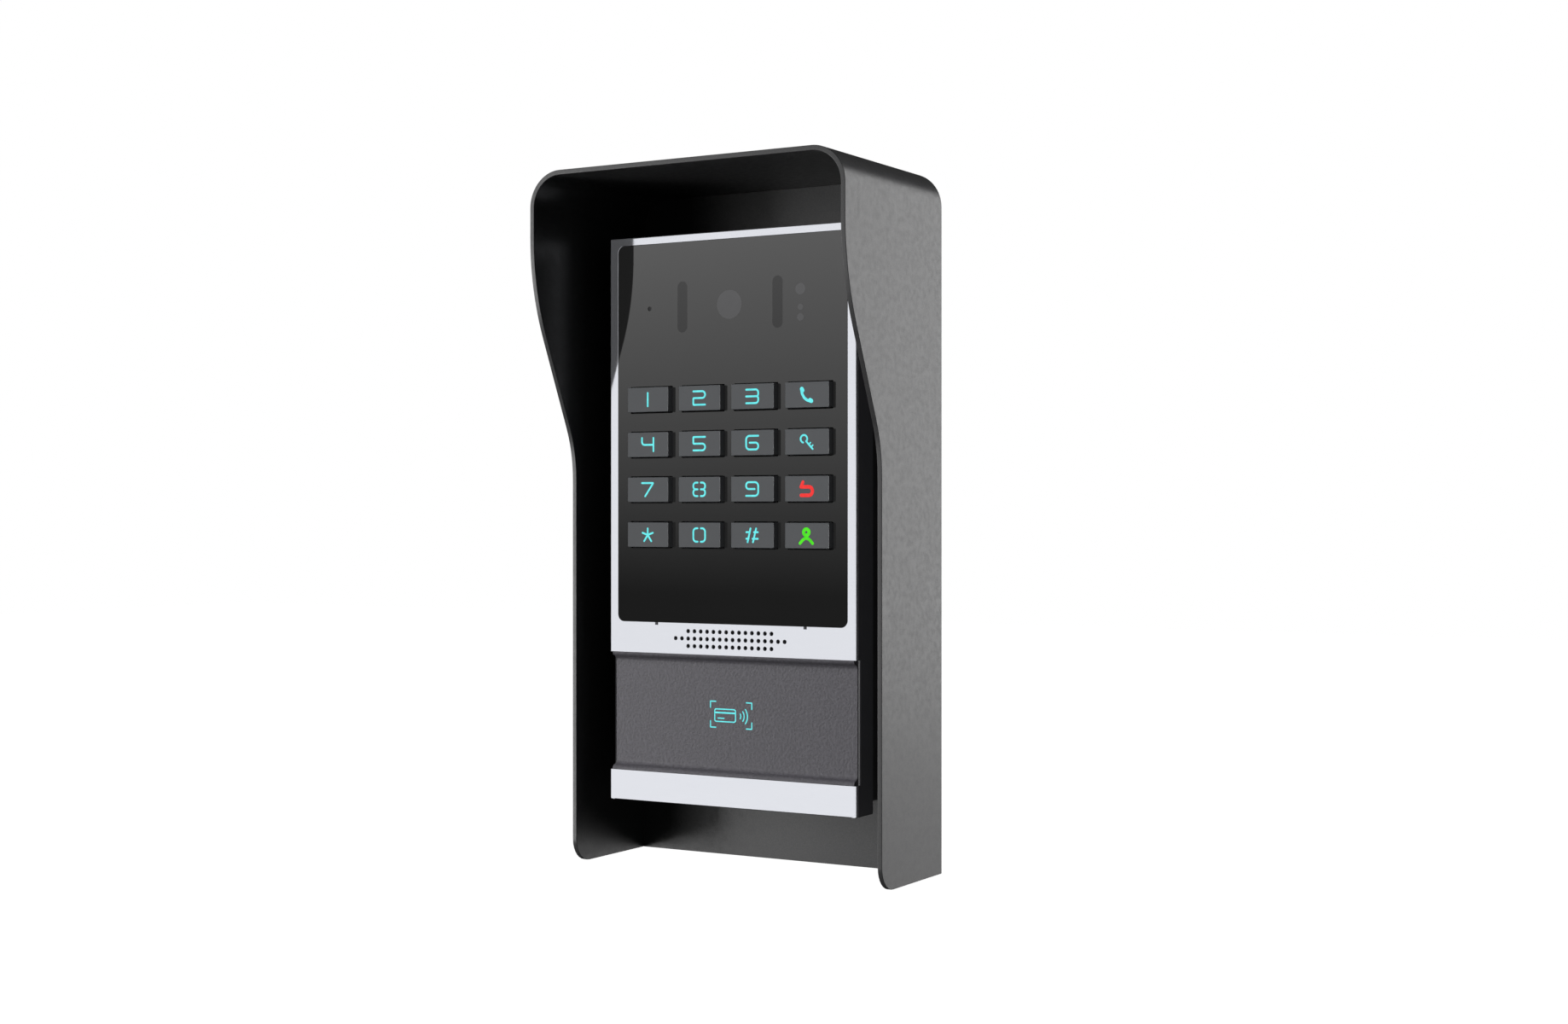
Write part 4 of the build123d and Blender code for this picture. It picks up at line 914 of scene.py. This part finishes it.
def stroke(points, width, rise):
    """A stroke with round ends, domed slightly, lying in the plane Y = 0."""
    route = turned(points)
    half = width / 2
    lead = (route[0] - route[1]).normalized()
    tail = (route[-1] - route[-2]).normalized()
    ends = [math.radians(a) for a in (85, 60, 30)]
    course = [(route[0] + lead * half * math.sin(a), math.cos(a)) for a in ends]
    course += [(point, 1.0) for point in route]
    course += [(route[-1] + tail * half * math.sin(a), math.cos(a)) for a in reversed(ends)]
    curve = bpy.data.curves.new("stroke", "CURVE")
    curve.dimensions = "3D"
    curve.bevel_depth = half * MM
    curve.bevel_resolution = 2
    curve.use_fill_caps = True
    spline = curve.splines.new("POLY")
    spline.points.add(len(course) - 1)
    for target, (place, swell) in zip(spline.points, course):
        target.co = (place.x * MM, 0, place.y * MM, 1)
        target.radius = swell
    made = bpy.data.objects.new("stroke", curve)
    bpy.context.scene.collection.objects.link(made)
    only(made)
    bpy.ops.object.convert(target="MESH")
    made = bpy.context.object
    made.scale = (1, rise / (half * MM), 1)
    bpy.ops.object.transform_apply(location=True, rotation=True, scale=True)
    return made


def keypad():
    """Sixteen keys, each with its lit legend, riding on the key's own body."""
    cap, flange_front = key_cap()
    stem = peg(
        "stem", (0, 0), key_stem_radius,
        -flange_front - key_flange_thickness + 0.1 * MM, -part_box("key_1")[1].y, 32,
    )
    model = join([cap, stem], "key_model")
    soften(model, key_chamfer, 3, 50)
    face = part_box("key_1")[0].y
    for name in key_names:
        x, z = key_centre(name)
        body = name + "_cap"
        dress(copied(model, name + "_button", Vector((x, 0, z))), body, "key_cap", name)
        if name in digit_strokes:
            drawn = [(points, legend_width) for points in digit_strokes[name]]
        else:
            drawn = picture_strokes[name]
        strokes = [stroke(points, width, legend_rise) for points, width in drawn]
        legend = join(strokes, name + "_legend")
        legend.data.transform(Matrix.Translation((x, face, z)))
        only(legend)
        bpy.ops.object.shade_smooth()
        dress(legend, body, "key_cap", material=legend_colours.get(name, cyan_light))
    bpy.data.objects.remove(model)


# ---------------------------------------------------------------- lit mark on the card reader


def card_mark():
    """Corner brackets round a small picture of a card with radio waves, lit from behind."""
    low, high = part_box("card_cover")
    face = low.y + card_recess
    left, right, top, bottom, arm = -11.1, 9.1, 5.75, -5.1, 2.6     # in mm
    strokes = []
    for x, inward in ((left, 1), (right, -1)):
        for z, down in ((top, -1), (bottom, 1)):
            strokes.append(([(x + inward * arm, z), (x, z, 0.1), (x, z + down * arm)], mark_width))
    card = [(-8.4, 2.6), (1.2, 2.6, 0.8), (1.2, -2.6, 0.8), (-9.0, -2.6, 0.8), (-9.0, 2.6, 0.8),
            (-8.3, 2.6)]
    strokes.append((card, mark_width))
    strokes.append(([(-8.8, 1.1), (1.0, 1.1)], 0.7))
    strokes.append(([(-7.4, -1.2), (-4.4, -1.2)], mark_width))
    for radius in (1.6, 3.2, 4.8):
        strokes.append((arc_points((2.2, 0), radius, -38, 38, 10), mark_width))
    drawn = [stroke(points, width, mark_rise) for points, width in strokes]
    mark = join(drawn, "card_mark")
    middle_height = (low.z + high.z) / 2
    place = Vector((0, face, middle_height))
    mark.data.transform(Matrix.Translation(place))
    only(mark)
    bpy.ops.object.shade_smooth()
    dress(mark, "housing", "card_abs", material=cyan_light)


# ---------------------------------------------------------------- CAD pieces that keep their shape


def dress_cad_nodes():
    """Every CAD node takes the finish of its slot, whether or not it is shown."""
    slots = {row["node"]: row["material_slot"] for row in frame["record"]["subparts"]}
    for name, piece in frame["nodes"].items():
        piece.data.materials.clear()
        piece.data.materials.append(finishes[slots[name]])


# ---------------------------------------------------------------- room, light and camera

floor_size = 30
floor_drop = 0.9
ambient_light = 0.03          # what the white all round gives to the object
graded_card_place = (-1.39, -2.3, 0.14)
graded_card_size = (0.75, 0.9)
graded_card_brightness = 2.15
graded_card_foot = -0.13      # height where its light starts
graded_card_top = 0.455       # height where it is full
camera_place = Vector((468.9, -806.9, 4.4)) * MM
camera_turn = math.radians(30.218)
focal_length = 49.34


def studio():
    """White room: a pale floor well below, and a white that only the camera sees all round."""
    bpy.ops.object.select_all(action="DESELECT")
    bpy.ops.mesh.primitive_plane_add(size=floor_size, location=(0, 0, -floor_drop))
    floor = bpy.context.object
    floor.name = "floor"
    material, tree, shader, coords = new_material("pale_floor", Roughness=0.9)
    tone = noise(tree, coords, 0.8, 1.0)
    tree.links.new(blend_colours(tree, tone, "#FBFBFA", "#FFFFFF"), shader.inputs["Base Color"])
    shader.inputs["Emission Color"].default_value = srgb("#FFFFFF")
    shader.inputs["Emission Strength"].default_value = 1.0
    floor.data.materials.append(material)
    floor.visible_diffuse = False
    floor.visible_glossy = False

    world = bpy.data.worlds.new("white_room")
    bpy.context.scene.world = world
    world.use_nodes = True
    tree = world.node_tree
    tree.nodes.clear()
    seen = node(tree, "ShaderNodeLightPath").outputs["Is Camera Ray"]
    strength = span(tree, seen, ambient_light, 1.0)
    sky = node(tree, "ShaderNodeBackground", {"Color": (1, 1, 1, 1)}, {"Strength": strength})
    node(tree, "ShaderNodeOutputWorld", links={"Surface": sky.outputs[0]})
    bpy.context.scene.view_settings.view_transform = "Standard"


def area_light(name, place, target, size, brightness):
    """A soft rectangular light whose surface has that brightness."""
    data = bpy.data.lights.new(name, "AREA")
    data.shape = "RECTANGLE"
    data.size, data.size_y = size
    data.energy = brightness * math.pi * size[0] * size[1]
    light = bpy.data.objects.new(name, data)
    light.location = place
    light.rotation_euler = (Vector(target) - Vector(place)).to_track_quat("-Z", "Y").to_euler()
    bpy.context.scene.collection.objects.link(light)
    return light


def keep_off(light, pieces):
    """The light doesn't fall on these pieces."""
    light_only(light, pieces)
    for entry in light.light_linking.receiver_collection.collection_objects:
        entry.light_linking.link_state = "EXCLUDE"


def light_only(light, pieces):
    """The light falls on these pieces and no others."""
    group = bpy.data.collections.new(light.name + "_receivers")
    for piece in pieces:
        group.objects.link(piece)
    light.light_linking.receiver_collection = group


def graded_card(glass_pieces):
    """A card that only the glass mirrors, bright at its top and dark at its foot."""
    bpy.ops.object.select_all(action="DESELECT")
    bpy.ops.mesh.primitive_plane_add(
        size=1, location=graded_card_place, rotation=(math.pi / 2, 0, 0)
    )
    card = bpy.context.object
    card.name = "graded_card"
    card.scale = (*graded_card_size, 1)
    material, tree, shader, coords = new_material("graded_card_light", Roughness=1.0)
    shader.inputs["Base Color"].default_value = (0, 0, 0, 1)
    place = node(tree, "ShaderNodeNewGeometry").outputs["Position"]
    height = node(tree, "ShaderNodeSeparateXYZ", links={0: place}).outputs["Z"]
    ramp = span(tree, height, 0.0, graded_card_brightness, graded_card_foot, graded_card_top)
    output = [n for n in tree.nodes if n.type == "OUTPUT_MATERIAL"][0]
    glow = node(tree, "ShaderNodeEmission", links={"Strength": ramp})
    tree.links.new(glow.outputs[0], output.inputs["Surface"])
    card.data.materials.append(material)
    card.visible_camera = False
    light_only(card, glass_pieces)


def lights():
    """Soft cards all round, and fills that fall on some pieces only."""
    def pieces(*names):
        return [bpy.data.objects[name] for name in names]

    panes = pieces("front_glass", "camera_window", "fill_light_window_left",
                   "fill_light_window_right", "sensor_windows")
    metal = pieces("bezel_frame", "lower_trim")
    keys = pieces(*[name + "_button" for name in key_names])
    hood = pieces("rain_hood", "hood_plate")
    card = pieces("card_panel")
    cover, housing = [frame["nodes"][name] for name in ("front_cover", "rear_housing")]
    middle_of_panel = (0, 0, 0)

    # Cards: name, place, what it faces, size, brightness, and the pieces that it spares.
    for name, place, target, size, brightness, spared in (
        ("front_left_card", (-0.9, -1.5, 0.25), middle_of_panel, (0.85, 1.9), 0.95, panes + card),
        ("far_left_card", (-1.35, -1.2, -0.08), middle_of_panel, (0.65, 1.0), 8.0,
         panes + metal + keys + [cover]),
        ("right_rear_card", (0.95, 1.45, 0.33), (0.075, 0, 0.1), (1.0, 1.2), 2.7, []),
        ("right_rear_low_card", (0.95, 1.45, -0.6), (0.075, 0, -0.2), (1.0, 0.7), 1.2, []),
        ("right_card", (1.65, 0.5, 0.25), (0.075, 0, 0), (0.9, 1.2), 2.2, []),
        ("rear_left_card", (-0.8, 1.5, -0.4), middle_of_panel, (1.1, 0.8), 3.0, []),
        ("left_card", (-1.7, 0.35, 0.1), (-0.075, 0, 0), (0.8, 1.4), 2.6, []),
        ("top_left_card", (-1.0, 0.5, 1.3), (0, 0, 0.146), (0.8, 0.8), 1.6, []),
    ):
        light = area_light(name, place, target, size, brightness)
        if spared:
            keep_off(light, spared)
    front_right = area_light(
        "front_right_card", (1.05, -1.35, 0.1), middle_of_panel, (1.5, 1.7), 0.7
    )
    front_right.visible_diffuse = False
    keep_off(front_right, hood + panes)
    panel_fill = area_light("panel_fill", (0.2, -1.6, 0.2), middle_of_panel, (1.0, 1.0), 6.0)
    panel_fill.visible_glossy = False
    light_only(panel_fill, panes + metal + keys)

    # Cards that some pieces mirror and that light nothing else: name, place, size, brightness.
    for name, place, size, brightness, receivers in (
        ("key_edge_card", (1.3, -0.79, 0.0), (0.35, 0.8), 16.0, keys),
        ("plate_edge_card", (1.3, -0.79, 0.0), (0.35, 0.8), 0.6, metal),
        ("low_front_card", (0.0, -1.4, -1.0), (3.2, 1.1), 0.75, metal),
        ("mid_front_card", (0.0, -1.9, 0.0), (0.7, 1.6), 0.75, metal),
    ):
        light = area_light(name, place, middle_of_panel, size, brightness)
        light.visible_diffuse = False
        light_only(light, receivers)
    housing_fill = area_light(
        "housing_fill", (0.5, -0.8, 0.0), (0.06, -0.03, -0.03), (0.5, 0.5), 7.0
    )
    housing_fill.data.use_shadow = False
    light_only(housing_fill, [cover, housing])
    card_fill = area_light("card_fill", (-0.3, -1.2, 1.3), (0, 0, -0.1), (0.8, 0.8), 3.6)
    light_only(card_fill, card)
    graded_card(panes)


def camera():
    """A visitor's view of the panel, from its right and level with its middle."""
    data = bpy.data.cameras.new("camera")
    data.lens = focal_length
    data.sensor_width = 36.0
    data.clip_start = 0.01
    view = bpy.data.objects.new("camera", data)
    view.location = camera_place
    view.rotation_euler = (math.pi / 2, 0, camera_turn)
    bpy.context.scene.collection.objects.link(view)
    bpy.context.scene.camera = view


dress_cad_nodes()
rain_hood()
back_plate()
bezel()
lower_trim()
glass()
window_patches()
card_panel()
keypad()
card_mark()
studio()
lights()
camera()
